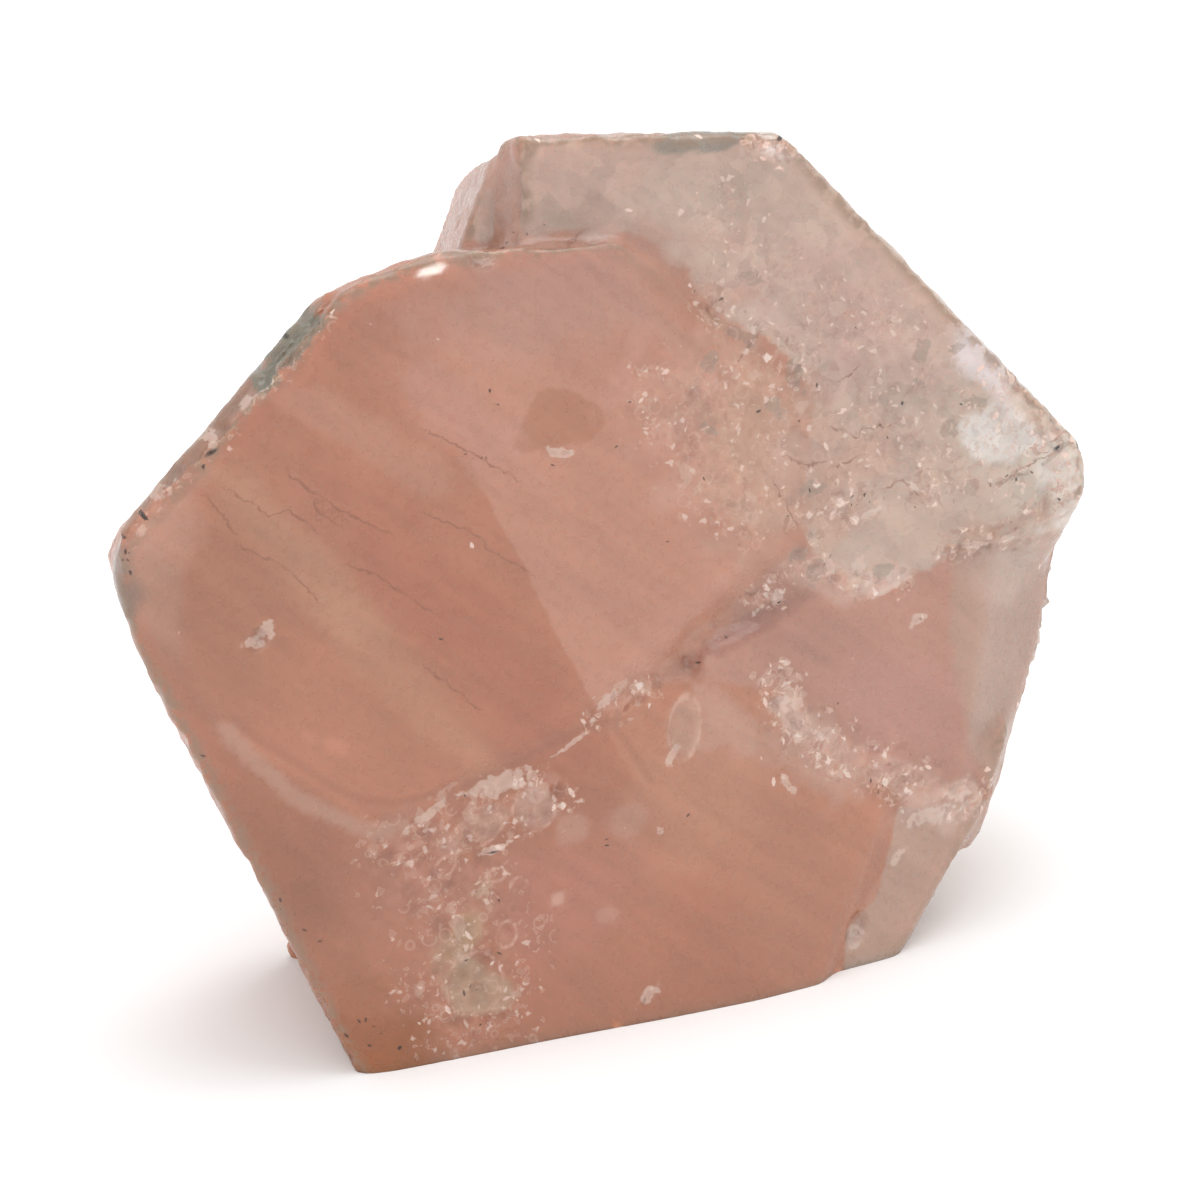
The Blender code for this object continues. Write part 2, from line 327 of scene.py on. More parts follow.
BLOCKS = (
    Block(
        "core_prism",
        (-4.0, 27.0),
        (End(CORE_LEVEL, 0, 1.5),),
        (End(CORE_BACK, 200, 6), End(CORE_BACK - 1.5, 60, 9)),
        sides(
            (-169, 20.3, 11), (-161, 19.6, 10), (165, 22.0, 12), (130, 19.0, 16), (102, 19.8, 13),
            (85, 20.0, 12), (52, 22.0, 6), (38, 21.2, 4), (12, 23.2, 2), (-29, 28.9, 2),
        ),
        0.9,
    ),
    Block(
        "rear_prism",
        (18.0, 28.0),
        (End(REAR_LEVEL, 70, 3.5, 18, 26),),
        (End(REAR_BACK, 30, 5), End(REAR_BACK - 1.0, 250, 8)),
        sides(
            (176, 20.5, 3), (153, 26.0, 12), (126, 29.2, 13), (84, 22.2, 9), (38.5, 14.3, 0), (2, 17.5, 1),
            (-35, 15.3, 2), (-80, 12.0, 2),
        ),
        0.45,
    ),
    Block(
        "rear_foot",
        (18.0, 28.0),
        (End(REAR_LEVEL - 0.5, -25, 6, 24, 12),),
        (End(REAR_BACK + 1.5, 40, 7),),
        sides((95, -2.0, 4), (180, 10.0), (-14, 15.4, 2), (-27, 17.1, 3), (-40, 19.9, 3)),
        0.45,
    ),
    Block(
        "rear_plate",
        (18.0, 28.0),
        (End(REAR_PLATE_LEVEL, 180, 3.0, 14, 36),),
        (End(REAR_LEVEL - 1.0),),
        sides(
            (172, 19.4, -8), (153, 27.1, 17), (126, 30.1, 13), (82.5, 22.4, 2), (38.5, 13.5, -13),
            (2, 16.2, -22), (-35, 14.1, -22), (-81.5, 5.0, -45),
        ),
        0.4,
    ),
    Block(
        "foot_plate",
        (18.0, 28.0),
        (End(FOOT_PLATE_LEVEL, -25, 5.0, 20, 6),),
        (End(REAR_LEVEL - 1.5),),
        sides((95, -16.5, -20), (180, 8.0), (-14, 14.1, -22), (-27, 15.7, -22), (-40, 18.5, -22)),
        0.4,
    ),
    Block(
        "right_plate",
        (22.0, 18.0),
        (End(RIGHT_PLATE_LEVEL, -8, 4.0, 15, 18),),
        (End(REAR_LEVEL - 1.2),),
        sides(
            (101, 6.0, -30), (75, 6.8, -34), (-14, 2.8, -55), (-27, 7.7, -20), (-116, 6.5, -38), (180, 14.0),
        ),
        0.4,
    ),
    Block(
        "lower_plate",
        (0.0, 12.0),
        roof(LOWER_PLATE_LEVEL, 4.1, 13.2),
        (End(PLATE_ROOT),),
        sides((-161, 17.8, 10), (80, 8.2, -45), (37, 14.0, -45), (-29, 17.6, -16)),
        0.6,
    ),
    Block(
        "upper_plate",
        (-5.0, 33.0),
        roof(UPPER_PLATE_LEVEL, *RIDGE_MIDDLE),
        (End(PLATE_ROOT),),
        sides(
            (-174, 20.9, 9), (130, 13.5, 16), (102, 13.9, 14), (85, 14.2, 12), (51, 16.9, -12),
            (36, 17.2, -16), (-14, 15.8, -70), (-54, 13.7, -60), (-74, 14.4, -32), (-134, 17.5, -42),
            (-155, 18.8, 6),
        ),
        0.5,
    ),
)


class Etch(Enum):
    """How a stretch of surface is eaten away."""

    CRATERED = "cratered"
    CHIPPED = "chipped"


@dataclass(frozen=True)
class EtchedBand:
    """A band of eaten surface along a polyline of (u, v) on the end face."""

    route: tuple[Point, ...]
    half_width: float
    depth: float
    crater: float
    kind: Etch = Etch.CRATERED

    def distance(self, points: np.ndarray) -> np.ndarray:
        """Return each point's distance across the end face from the band's middle line."""
        return route_distance(points, self.route)


@dataclass(frozen=True)
class Scoop:
    """A shell-like chip out of the end face."""

    centre: Point
    half_length: float
    half_width: float
    turn: float
    depth: float

    def drop(self, points: np.ndarray) -> np.ndarray:
        """Return how far each point sinks into the chip.

        Args:
            points: rows of u, v, w.

        Returns:
            One depth per point, in millimetres.
        """
        along, across = oval_shares(points, self.centre, (self.half_length, self.half_width), self.turn)
        inside = 1.0 - along**2 - across**2
        return self.depth * np.clip(1.8 * inside, 0.0, 1.0)


ETCHED_BANDS = (
    EtchedBand(((-12.0, 13.0), (-6.5, 14.6), (-2.5, 14.6)), 2.0, 0.16, 1.5),
    EtchedBand(((-9.5, 11.5), (-8.0, 7.6), (-8.2, 3.6)), 4.2, 0.16, 1.4),
    EtchedBand(((1.4, 18.9), (4.4, 19.8)), 1.0, 0.12, 1.4, Etch.CHIPPED),
    EtchedBand(
        ((12.6, 23.6), (14.2, 24.6), (15.4, 25.6), (18.0, 24.0), (21.2, 22.8)),
        1.1, 0.09, 1.6, Etch.CHIPPED,
    ),
    EtchedBand(((24.2, 24.7), (26.9, 24.6), (30.4, 24.4)), 1.0, 0.14, 1.4, Etch.CHIPPED),
    EtchedBand(
        ((15.4, 28.5), (19.0, 28.2), (22.8, 28.5), (27.0, 28.5), (31.0, 29.0)),
        1.3, 0.07, 1.5, Etch.CHIPPED,
    ),
    EtchedBand(
        ((12.5, 18.2), (13.8, 15.8), (16.7, 13.4), (19.8, 11.6), (23.0, 9.0), (25.6, 8.8)),
        1.6, 0.13, 1.5, Etch.CHIPPED,
    ),
    EtchedBand(((12.0, 35.6), (17.0, 34.0), (23.2, 32.9), (28.7, 31.4)), 4.4, 0.1, 1.8),
    EtchedBand(((8.0, 36.4), (9.6, 33.4), (12.0, 29.8)), 3.0, 0.08, 1.6),
    EtchedBand(((13.2, 46.4), (15.0, 43.4), (18.4, 39.8), (22.6, 37.6)), 2.2, 0.05, 1.4),
    EtchedBand(((11.4, 41.6), (13.4, 39.9), (16.8, 36.6)), 1.2, 0.1, 1.6, Etch.CHIPPED),
    EtchedBand(((30.7, 34.6), (33.0, 31.4), (33.8, 28.6), (31.6, 26.2)), 1.8, 0.18, 1.5, Etch.CHIPPED),
    EtchedBand(((-24.6, 34.4), (-20.7, 37.6), (-15.9, 41.2), (-12.0, 44.6)), 1.0, 0.2, 1.6),
    EtchedBand(((15.9, 50.6), (18.6, 49.6)), 1.2, 0.2, 1.4, Etch.CHIPPED),
)

SCOOPS = (
    Scoop((0.9, 36.5), 3.0, 1.8, 20, 0.05),
    Scoop((6.3, 17.0), 1.9, 1.0, 80, 0.2),
    Scoop((-18.0, 27.0), 0.8, 0.6, 60, 0.2),
    Scoop((-2.2, 46.2), 0.9, 0.5, -25, 0.25),
    Scoop((16.2, 2.6), 1.2, 0.8, 60, 0.3),
)

# Outlines of the growth zones on the end face, and of the painted shade in the shallow chip on the right end
# face.
REAR_OUTLINE = (
    (-7.0, 47.4), (-1.4, 46.6), (2.3, 46.8), (5.0, 46.7), (7.9, 45.8), (10.0, 44.2), (12.0, 40.6),
    (13.4, 39.7), (14.9, 38.7), (16.2, 37.1), (17.0, 35.6), (16.0, 29.4), (15.8, 26.6), (18.1, 23.6),
    (20.7, 22.9), (25.0, 24.6), (28.7, 24.6), (31.7, 25.4), (42.0, 22.0), (42.0, 60.0), (-7.0, 60.0),
)
RIGHT_OUTLINE = (
    (5.0, 20.0), (8.5, 21.4), (12.0, 24.0), (15.4, 27.0), (18.1, 23.6), (20.7, 22.9), (25.0, 24.6),
    (28.7, 24.6), (31.7, 25.4), (42.0, 22.0), (42.0, 8.6), (25.4, 8.8), (21.3, 10.4), (16.7, 13.4),
    (13.9, 15.6), (12.2, 18.4), (8.0, 19.8),
)
FOOT_OUTLINE = (
    (25.4, 8.6), (19.8, 9.4), (18.6, 6.0), (17.6, 4.2), (15.4, 2.2), (14.6, -6.0), (42.0, -6.0), (42.0, 8.4),
)
LOWER_OUTLINE = (
    (-34.0, 33.6), (-22.2, 23.4), (-20.2, 21.4), (-17.3, 17.6), (-15.0, 15.9), (-12.4, 14.5), (-10.3, 15.1),
    (-4.0, 16.5), (1.4, 18.9), (5.0, 20.0), (8.0, 19.8), (12.2, 18.4), (13.9, 15.6), (16.7, 13.4),
    (19.8, 9.4), (18.6, 6.0), (15.4, 2.2), (14.6, -6.0), (-34.0, -6.0),
)
SHADED_OUTLINE = (
    (-1.9, 35.4), (-1.4, 36.2), (-0.8, 37.1), (0.1, 38.3), (0.9, 38.4), (2.1, 38.0), (3.8, 36.7),
    (4.0, 35.7), (2.7, 34.7), (0.7, 35.0), (-1.4, 34.8),
)

# Healed cracks and thin dark lines in the end faces.
CRACKS = (
    ((-18.5, 35.6), (-17.0, 34.4), (-16.6, 33.9), (-15.3, 34.0), (-14.1, 32.7)),
    ((-15.0, 36.0), (-13.9, 34.8), (-12.5, 33.6), (-11.4, 32.8), (-9.8, 31.7)),
    ((-7.4, 32.4), (-5.9, 31.5), (-4.7, 30.7), (-4.1, 29.7), (-3.0, 28.9), (-2.0, 28.1)),
    ((-18.3, 32.3), (-17.1, 31.6), (-15.9, 30.6), (-15.2, 29.8), (-14.4, 28.7)),
    ((-12.2, 30.2), (-10.8, 29.5), (-9.5, 28.1), (-7.9, 26.8)),
    ((-6.8, 37.1), (-5.2, 36.1), (-3.4, 34.7), (-2.1, 33.6)),
    ((-19.8, 35.4), (-19.1, 34.3), (-18.6, 33.3)),
    ((-13.9, 34.4), (-13.6, 33.5), (-12.7, 32.7)),
    ((-8.7, 23.6), (-7.2, 22.1), (-6.0, 20.8)),
    ((14.2, 30.2), (14.6, 29.3), (15.2, 28.0)),
    ((15.3, 31.7), (16.2, 31.1), (17.3, 31.1)),
    ((18.3, 30.7), (19.5, 31.0)),
    ((21.3, 29.0), (22.2, 29.2), (23.0, 28.3)),
    ((20.0, 32.6), (21.7, 32.6)),
    ((18.2, 33.0), (19.6, 32.3)),
    ((19.2, 35.8), (20.1, 36.2)),
    ((3.1, 46.1), (4.5, 46.7)),
    ((12.8, 37.9), (14.3, 39.1)),
    ((28.6, 28.0), (29.6, 28.6), (30.9, 29.0), (32.3, 29.4)),
    ((31.2, 29.6), (32.4, 30.2), (33.2, 30.4)),
)


@dataclass(frozen=True)
class Mark:
    """An oval mark on the end face: centre, half length, half width and turn."""

    centre: Point
    half_length: float
    half_width: float
    turn: float = 0.0

    def share(self, points: np.ndarray) -> np.ndarray:
        """Return 1 at the mark's middle, 0 on its edge and less outside."""
        along, across = oval_shares(points, self.centre, (self.half_length, self.half_width), self.turn)
        return np.maximum(1.0 - np.hypot(along, across), -2.0)


def marks(*rows: tuple[float, ...]) -> tuple[Mark, ...]:
    """Return marks from rows of u, v, half length, half width and, where it isn't 0, turn."""
    return tuple(Mark(row[:2], *row[2:]) for row in rows)


PALE_CHIPS = marks(
    (-18.1, 27.0, 0.8, 0.55, 30), (-17.2, 27.5, 0.6, 0.15, 80), (-2.2, 46.3, 0.7, 0.3, -30),
    (-5.0, 15.9, 2.0, 0.6, 8), (-9.6, 14.9, 1.6, 0.25, 30), (-20.2, 38.7, 1.0, 0.4, 40),
    (-19.0, 38.6, 0.5, 0.25, 70), (-16.6, 40.3, 0.6, 0.25, 30), (-22.3, 36.0, 0.7, 0.3, 30),
    (-0.4, 17.6, 1.4, 0.12, 25), (-5.9, 12.2, 1.2, 0.22, 12), (2.3, 1.7, 0.7, 0.35, 38),
    (1.9, 19.7, 0.7, 0.3, 35), (5.6, 15.7, 0.6, 0.3, 60), (13.3, 17.4, 0.8, 0.6, -48),
    (13.6, 15.1, 0.5, 0.3, -30), (15.1, 14.9, 1.4, 0.12, -44), (21.9, 8.5, 1.5, 0.6, 0),
    (24.0, 8.9, 1.1, 0.9, 30), (12.6, 12.5, 0.8, 0.2, -55), (22.2, 20.6, 0.55, 0.3, 25),
    (26.6, 24.5, 1.0, 0.22, -6), (28.6, 24.5, 0.8, 0.15, 6), (20.4, 22.8, 1.8, 0.18, 14),
    (19.4, 6.4, 0.6, 0.25, 40), (16.1, 2.0, 0.7, 0.4, 60), (17.6, 50.0, 1.2, 0.7, -30),
    (13.6, 23.6, 0.5, 0.3, 60), (12.3, 23.0, 0.5, 0.15, 30), (17.0, 24.6, 0.5, 0.3, 80),
    (0.9, 34.6, 0.9, 0.25, -15), (4.2, 11.4, 0.25, 0.25), (18.9, 24.6, 0.5, 0.35, 60),
    (22.7, 38.7, 0.4, 0.2, -40), (24.0, 28.2, 0.5, 0.2, 30), (22.8, 28.7, 0.4, 0.2, -40),
    (19.9, 27.6, 0.6, 0.25, 20), (12.1, 41.1, 0.3, 0.15, -40),
)
GREY_SPOTS = marks(
    (24.3, 36.7, 0.7, 0.5, 70), (26.6, 36.4, 0.35, 0.5, -60), (24.1, 34.7, 0.7, 0.25, -40),
    (27.3, 33.2, 0.7, 0.3, -20), (25.5, 31.8, 0.6, 0.5, 40), (14.4, 42.6, 0.7, 0.4, -10),
    (14.7, 34.9, 0.8, 0.4, -40), (16.3, 36.3, 0.5, 0.9, 20), (13.4, 39.2, 1.1, 0.4, -30),
    (20.2, 24.0, 0.7, 0.5, 0), (15.4, 25.8, 0.6, 0.4, 30), (16.3, 24.8, 0.8, 0.7, 30),
    (16.5, 29.6, 0.7, 0.4, 0), (11.0, 38.2, 0.6, 0.4, 30), (10.4, 34.2, 0.5, 0.3, -40),
    (32.4, 29.4, 1.6, 0.16, 28), (29.4, 28.2, 1.4, 0.14, 10),
)
PITTED = marks(
    (-25.0, 32.4, 3.4, 0.9, 84), (9.9, 22.2, 1.3, 0.7, 50), (11.7, 24.5, 0.9, 0.6, 60),
    (7.9, 21.0, 0.7, 0.4, 30), (-8.1, 4.1, 1.7, 1.6), (-2.9, 14.1, 1.2, 0.3, 5), (-15.4, 2.6, 2.2, 1.8, 60),
    (-18.2, 10.5, 1.1, 5.0, 22), (-21.4, 20.6, 0.6, 1.6, 40), (33.0, 29.6, 2.0, 0.8, -60),
    (29.6, 28.4, 2.4, 0.8, 10), (17.1, 50.2, 1.0, 0.7), (1.6, 46.9, 3.2, 0.5, 4),
    (-4.6, 35.6, 2.4, 0.35, -38), (-2.9, 38.4, 0.9, 0.4, -50), (19.4, 28.6, 1.4, 0.8, 20),
    (-19.8, 37.6, 0.9, 0.4, 35), (5.2, 34.3, 1.2, 0.9, -20), (15.6, 28.0, 1.2, 0.5, -30),
    (6.6, 28.1, 0.7, 0.2, 18), (24.6, 28.3, 1.8, 0.5, 5),
)
BLACK_PITS = marks(
    (22.8, 33.7, 0.26, 0.14, -60), (16.2, 33.7, 0.14, 0.14), (18.9, 28.7, 0.24, 0.1, 25),
    (19.8, 28.7, 0.15, 0.15), (21.1, 32.8, 0.2, 0.1, -30), (16.8, 37.7, 0.08, 0.08), (22.9, 31.1, 0.1, 0.1),
    (9.9, 21.9, 0.12, 0.12), (11.8, 24.1, 0.12, 0.1), (8.0, 20.7, 0.18, 0.1, -10),
    (-19.2, 37.9, 0.5, 0.12, 30), (-19.8, 37.2, 0.12, 0.22, 20), (-13.6, 43.5, 0.2, 0.16, 30),
    (-6.0, 12.0, 0.5, 0.1, -3), (-3.4, 13.8, 0.14, 0.1), (1.9, 1.3, 0.3, 0.12, 60), (-13.0, 1.5, 0.18, 0.16),
    (-23.4, 35.0, 0.12, 0.4, 25), (-24.6, 33.9, 0.14, 0.14), (17.2, 50.3, 0.3, 0.16, 20),
    (33.4, 30.4, 0.4, 0.16, 60), (33.9, 29.4, 0.16, 0.3), (32.2, 29.5, 0.4, 0.14, 25),
    (30.6, 28.9, 0.3, 0.12, 10),
)
# Bubble rims: thin pale outlines of large hollows.
BUBBLES = marks(
    (6.5, 17.1, 1.9, 1.0, 75), (-3.3, 14.0, 1.3, 1.2), (-8.1, 4.4, 1.9, 1.7, 60), (-6.8, 13.4, 1.7, 0.9, 20),
    (-5.8, 7.0, 0.8, 0.6, 70), (-8.9, 11.7, 0.7, 0.5, 40), (-4.7, 9.8, 0.5, 0.4), (-6.0, 10.6, 0.6, 0.4, 10),
    (16.3, 24.8, 0.9, 0.7, 30), (24.0, 9.2, 1.4, 1.0, -10), (20.4, 24.0, 0.9, 0.6, 0),
)
GREEN_GLASS = marks((-13.4, 43.4, 2.1, 0.65, 43), (-15.4, 41.4, 0.8, 0.5, 50))

# The pale band along the fold between the two end faces.
FOLD_ROUTE = (
    (-20.6, 22.1), (-20.0, 21.2), (-18.7, 19.4), (-17.1, 17.4), (-14.9, 15.8), (-12.6, 14.4), (-11.2, 14.6),
)

# Thin straight shadow lines along the fold and the edges between the end faces.
FOLD_LINES = (
    ((-20.1, 22.7), (-18.8, 21.2), (-16.9, 19.5), (-14.8, 17.6), (-13.3, 16.6), (-11.3, 16.1), (-9.0, 16.2)),
    ((-7.2, 16.3), (-4.0, 17.0), (-1.4, 17.8), (0.1, 18.3), (1.2, 18.8)),
    ((1.4, 19.1), (2.7, 17.2), (4.0, 14.4)),
)

# A distance that counts as nowhere near, and where marks end behind the end faces.
FAR = 9.0
MARKS_END = -4.5
MARKS_FADE = 2.5


def nearest_share(points: np.ndarray, shapes: tuple[Mark, ...]) -> np.ndarray:
    """Return the greatest share of any mark at each point; marks end a little behind the end faces."""
    behind = np.clip((MARKS_END - points[:, 2]) / MARKS_FADE, 0.0, 2.0)
    return np.max([shape.share(points) for shape in shapes], axis=0) - behind


def crack_offsets(points: np.ndarray) -> Pair:
    """Return where each point lies from the nearest crack.

    Args:
        points: rows of u, v and anything else.

    Returns:
        The distance with the side as its sign, and the plain distance, in millimetres.
    """
    nearest = np.full(len(points), FAR)
    signed = np.full(len(points), FAR)
    for crack in CRACKS:
        for ends in zip(crack, crack[1:]):
            distance, side = segment_offsets(points, *ends)
            signed = np.where(distance < nearest, side * distance, signed)
            nearest = np.minimum(nearest, distance)
    return signed, nearest


@dataclass(frozen=True)
class Patch:
    """A soft oval patch: its tone, strength, centre, radii and turn in the crystal's frame."""

    colour: str
    strength: float
    centre: Place
    radii: Place
    turn: float = 0.0
    softness: float = 0.8
    raggedness: float = 0.8

    def share(self, points: np.ndarray, wander: np.ndarray) -> np.ndarray:
        """Return the patch's cover at each point.

        Args:
            points: rows of u, v, w.
            wander: noise that makes the patch's rim ragged.

        Returns:
            One share per point, up to the patch's strength.
        """
        along, across = oval_shares(points, self.centre[:2], self.radii[:2], self.turn)
        behind = (points[:, 2] - self.centre[2]) / self.radii[2]
        length = np.sqrt(along**2 + across**2 + behind**2) + wander * self.raggedness
        return self.strength * smooth_share((1.0 - length) / self.softness + 0.5)


PATCHES = (
    # the lighter streak and the deeper band inside the left end face
    Patch("af836a", 0.7, (-12.8, 27.4, 0), (12.5, 1.6, 6), -57, 0.9, 0.7),
    Patch("9e634e", 0.6, (-6.2, 25.0, 0), (10.5, 3.0, 6), -57, 0.9, 0.7),
    Patch("996951", 0.6, (-20.0, 29.0, 0), (5.0, 5.0, 6), 0, 1.0, 0.6),
    Patch("a88372", 0.5, (-23.6, 30.6, 0), (3.6, 1.4, 8), -80, 0.9, 0.5),
    Patch("75675c", 0.9, (-26.7, 31.4, -2), (2.2, 5.0, 5), -4, 0.5, 0.6),
    Patch("846a5a", 0.75, (-18.8, 39.8, -2), (8.8, 1.2, 5), 39, 0.7, 0.7),
    Patch("b38679", 0.4, (-4.8, 37.6, 0), (4.8, 1.5, 6), -45, 0.9, 0.9),
    # painted shade: darker over the upward-facing top bevel of the left end face, against the light it
    # catches
    Patch("9d6a55", 0.5, (-6.0, 43.8, 0), (6.5, 1.8, 6), 12, 1.0, 0.6),
    Patch("ac755c", 0.5, (-12.0, 21.6, 0), (6.0, 4.0, 6), -20, 1.0, 0.8),
    # a painted highlight: the glossy white spot on the top bevel of the left end face
    Patch("efe6df", 0.95, (-5.3, 46.1, 0), (0.95, 0.32, 3), 8, 0.5, 0.25),
    Patch("b1836f", 0.5, (-10.5, 37.5, 0), (6.5, 1.1, 6), -40, 0.9, 1.0),
    Patch("b38b78", 0.55, (-22.5, 33.6, 0), (2.4, 1.6, 5), 40, 0.9, 0.8),
    # pinkish veils towards the top and right of the right end face, and painted shade along its step up to
    # the rear prism
    Patch("ad8476", 0.75, (3.0, 43.6, 0), (8.5, 3.2, 6), 0, 1.0, 0.8),
    # painted shade: a darker band along the step up to the rear prism
    Patch("a1745f", 0.6, (9.8, 41.6, 0), (3.6, 1.3, 6), -52, 0.8, 0.8),
    Patch("b58b7a", 0.8, (11.8, 33.6, 0), (4.6, 6.6, 6), 25, 1.1, 1.1),
    Patch("b58675", 0.6, (5.6, 38.6, 0), (3.0, 0.7, 6), 52, 0.7, 1.0),
    # fresh pink gleam above the fold
    Patch("c2846a", 0.4, (-16.1, 21.0, 0), (0.9, 0.4, 4), -45, 0.9, 1.6),
    Patch("c2846a", 0.4, (-14.3, 19.9, 0), (0.9, 0.4, 4), -45, 0.9, 1.6),
    # clouding in the lower plate
    Patch("ac7c65", 0.6, (7.5, 13.5, 0), (6.0, 4.0, 8), 30, 1.0, 0.8),
    Patch("aa7260", 0.6, (-2.0, 8.5, 0), (4.5, 3.5, 8), 20, 1.0, 0.8),
    Patch("a27566", 0.4, (-9.5, 10.5, 0), (3.6, 4.6, 5), 25, 0.9, 1.2),
    Patch("94614a", 0.6, (-18.0, 14.6, 0), (5.5, 2.6, 6), -52, 0.9, 0.6),
    Patch("ab8b7d", 0.6, (-3.1, 14.0, 0), (1.3, 1.2, 4), 0, 0.3, 0.4),
    Patch("a98676", 0.6, (-6.6, 13.6, 0), (1.9, 1.1, 4), 15, 0.4, 0.8),
    Patch("a68c6e", 0.6, (-8.3, 7.6, 0), (2.2, 1.2, 4), 50, 0.8, 1.6),
    Patch("a58972", 0.8, (-8.0, 4.1, 0), (2.1, 1.9, 4), 0, 0.35, 0.8),
    Patch("b18a79", 0.55, (-1.2, 12.5, 0), (1.0, 0.9, 4), 0, 0.6, 0.5),
    Patch("b18a79", 0.45, (2.3, 12.2, 0), (1.2, 0.9, 4), 40, 0.7, 0.5),
    Patch("bd9484", 0.8, (-2.5, 8.5, 0), (0.5, 0.4, 3), 30, 0.5, 0.5),
    Patch("b68b7a", 0.5, (0.4, 7.0, 0), (0.7, 0.5, 3), 0, 0.7, 0.6),
    Patch("b48f7d", 0.6, (6.5, 17.1, 0), (1.0, 1.8, 3), -12, 0.3, 0.35),
    Patch("b79080", 0.6, (8.9, 16.6, 0), (1.6, 2.2, 4), 30, 0.9, 1.2),
    # darker and browner at the bottom-left corner: partly the deeper tone of the thick foot, partly painted
    # shade where it meets the floor
    Patch("94562b", 0.9, (-15.8, 0.2, -4), (4.8, 5.0, 12), 25, 1.1, 0.6),
    Patch("915f46", 0.6, (-18.4, 10.5, -2), (2.6, 8.0, 10), 24, 1.0, 0.8),
    # the right plate's pale rim and pink heart
    Patch("a68878", 0.85, (29.8, 16.6, 0), (5.5, 11.5, 9), 5, 0.14, 0.12),
    Patch("b49c90", 0.6, (29.6, 22.6, 0), (3.0, 2.6, 9), 0, 0.8, 0.6),
    Patch("ac7f75", 0.6, (20.5, 16.0, 0), (4.0, 2.6, 8), -20, 1.0, 0.8),
    Patch("b29183", 0.6, (14.6, 14.2, 0), (3.4, 2.0, 6), -50, 0.8, 1.3),
    Patch("c2a79b", 0.65, (13.3, 16.6, 0), (1.5, 0.8, 6), -55, 0.6, 1.2),
    Patch("b9988a", 0.55, (16.2, 13.8, 0), (2.6, 0.8, 6), -42, 0.8, 1.4),
    Patch("bb9a8d", 0.55, (20.2, 11.2, 0), (2.6, 0.9, 6), -24, 0.8, 1.4),
    Patch("bfa69a", 0.65, (22.8, 8.9, 0), (3.0, 1.4, 6), -14, 0.7, 1.3),
    # painted shade: a darker line along the right plate's upward-facing upper edge, which dims the light it
    # catches
    Patch("93675a", 0.65, (11.4, 22.2, 0), (4.2, 0.6, 4), 18, 0.9, 0.6),
    Patch("bb9e91", 0.5, (16.8, 24.2, 0), (3.0, 1.1, 6), -32, 0.7, 1.2),
    Patch("c3aaa0", 0.7, (20.2, 23.3, 0), (1.6, 0.8, 6), 14, 0.5, 1.0),
    # the whitish corner, the cloudy heart and the top of the rear prism
    Patch("b8947f", 0.65, (13.8, 32.4, -1), (3.6, 6.0, 6), 8, 1.2, 1.2),
    Patch("bdb0a4", 0.85, (30.4, 29.8, -3), (4.6, 5.0, 9), 0, 0.8, 0.9),
    Patch("b19a8c", 0.65, (24.5, 28.2, -3), (4.5, 2.6, 9), 0, 1.0, 0.9),
    Patch("cfc7c1", 0.9, (28.8, 31.0, -2), (3.0, 1.7, 5), -14, 0.2, 0.8),
    Patch("cdc5c5", 0.85, (28.8, 35.3, -2), (3.4, 1.7, 4.5), -44, 0.35, 0.8),
    Patch("c9bfb6", 0.85, (33.2, 28.6, -2), (2.0, 3.8, 5), -12, 0.5, 0.9),
    Patch("c6bdb5", 0.8, (31.6, 34.2, -2), (4.4, 0.8, 4), -47, 0.5, 0.9),
    Patch("c2b6ab", 0.6, (25.2, 41.4, -2), (7.0, 0.7, 4), -50, 0.6, 0.9),
    Patch("c6ada2", 0.5, (15.3, 40.1, -3), (1.6, 0.9, 6), -20, 0.5, 0.8),
    Patch("bd9d8f", 0.6, (20.5, 31.1, -3), (1.7, 1.4, 6), 0, 0.25, 0.7),
    Patch("bb9b8e", 0.5, (16.4, 32.2, -3), (2.2, 1.1, 6), -10, 0.3, 0.9),
    Patch("bf9f94", 0.5, (19.4, 36.0, -3), (1.2, 1.8, 6), 0, 0.3, 0.9),
    Patch("a29186", 0.6, (23.4, 34.4, -3), (4.4, 1.7, 6), -15, 0.9, 1.4),
    Patch("d2c9c4", 0.9, (17.2, 50.1, -3), (1.9, 1.1, 6), -20, 0.7, 1.0),
    Patch("b69288", 0.5, (20.0, 39.4, -5), (7.0, 4.0, 8), -45, 1.0, 0.8),
    Patch("b49384", 0.6, (17.6, 30.9, -5), (5.0, 4.0, 8), 10, 0.9, 1.0),
    Patch("9c7c6d", 0.8, (-3.0, 49.2, -5), (2.4, 3.8, 9), 0, 0.5, 0.5),
    Patch("b09184", 0.6, (4.5, 49.6, -5), (5.5, 2.6, 9), 0, 1.0, 0.8),
    Patch("827d73", 0.85, (12.4, 50.9, -1.5), (3.0, 0.7, 5), 0, 0.3, 0.6),
)

OUTLINES = {
    "rear_zone": REAR_OUTLINE,
    "right_zone": RIGHT_OUTLINE,
    "foot_zone": FOOT_OUTLINE,
    "lower_zone": LOWER_OUTLINE,
    "shaded_zone": SHADED_OUTLINE,
}

# Half widths of the fold's pale band and of the shadow lines.
FOLD_BAND_REACH = 0.45
FOLD_LINE_REACH = 0.22

# The painted rim shade, darker and greyer along the outer edges: where it starts from the middle of the end
# face, how it sets in and how strong it is.
FACE_MIDDLE = (0.0, 25.0)
RIM_SHADE_START = 16.0
RIM_SHADE_WIDTH = 4.0
RIM_SHADE_SHARE = 0.7


# Height of the rims between craters, and how steep a crater's walls are.
CRATER_RIM = 0.4
CRATER_WALL = 1.6

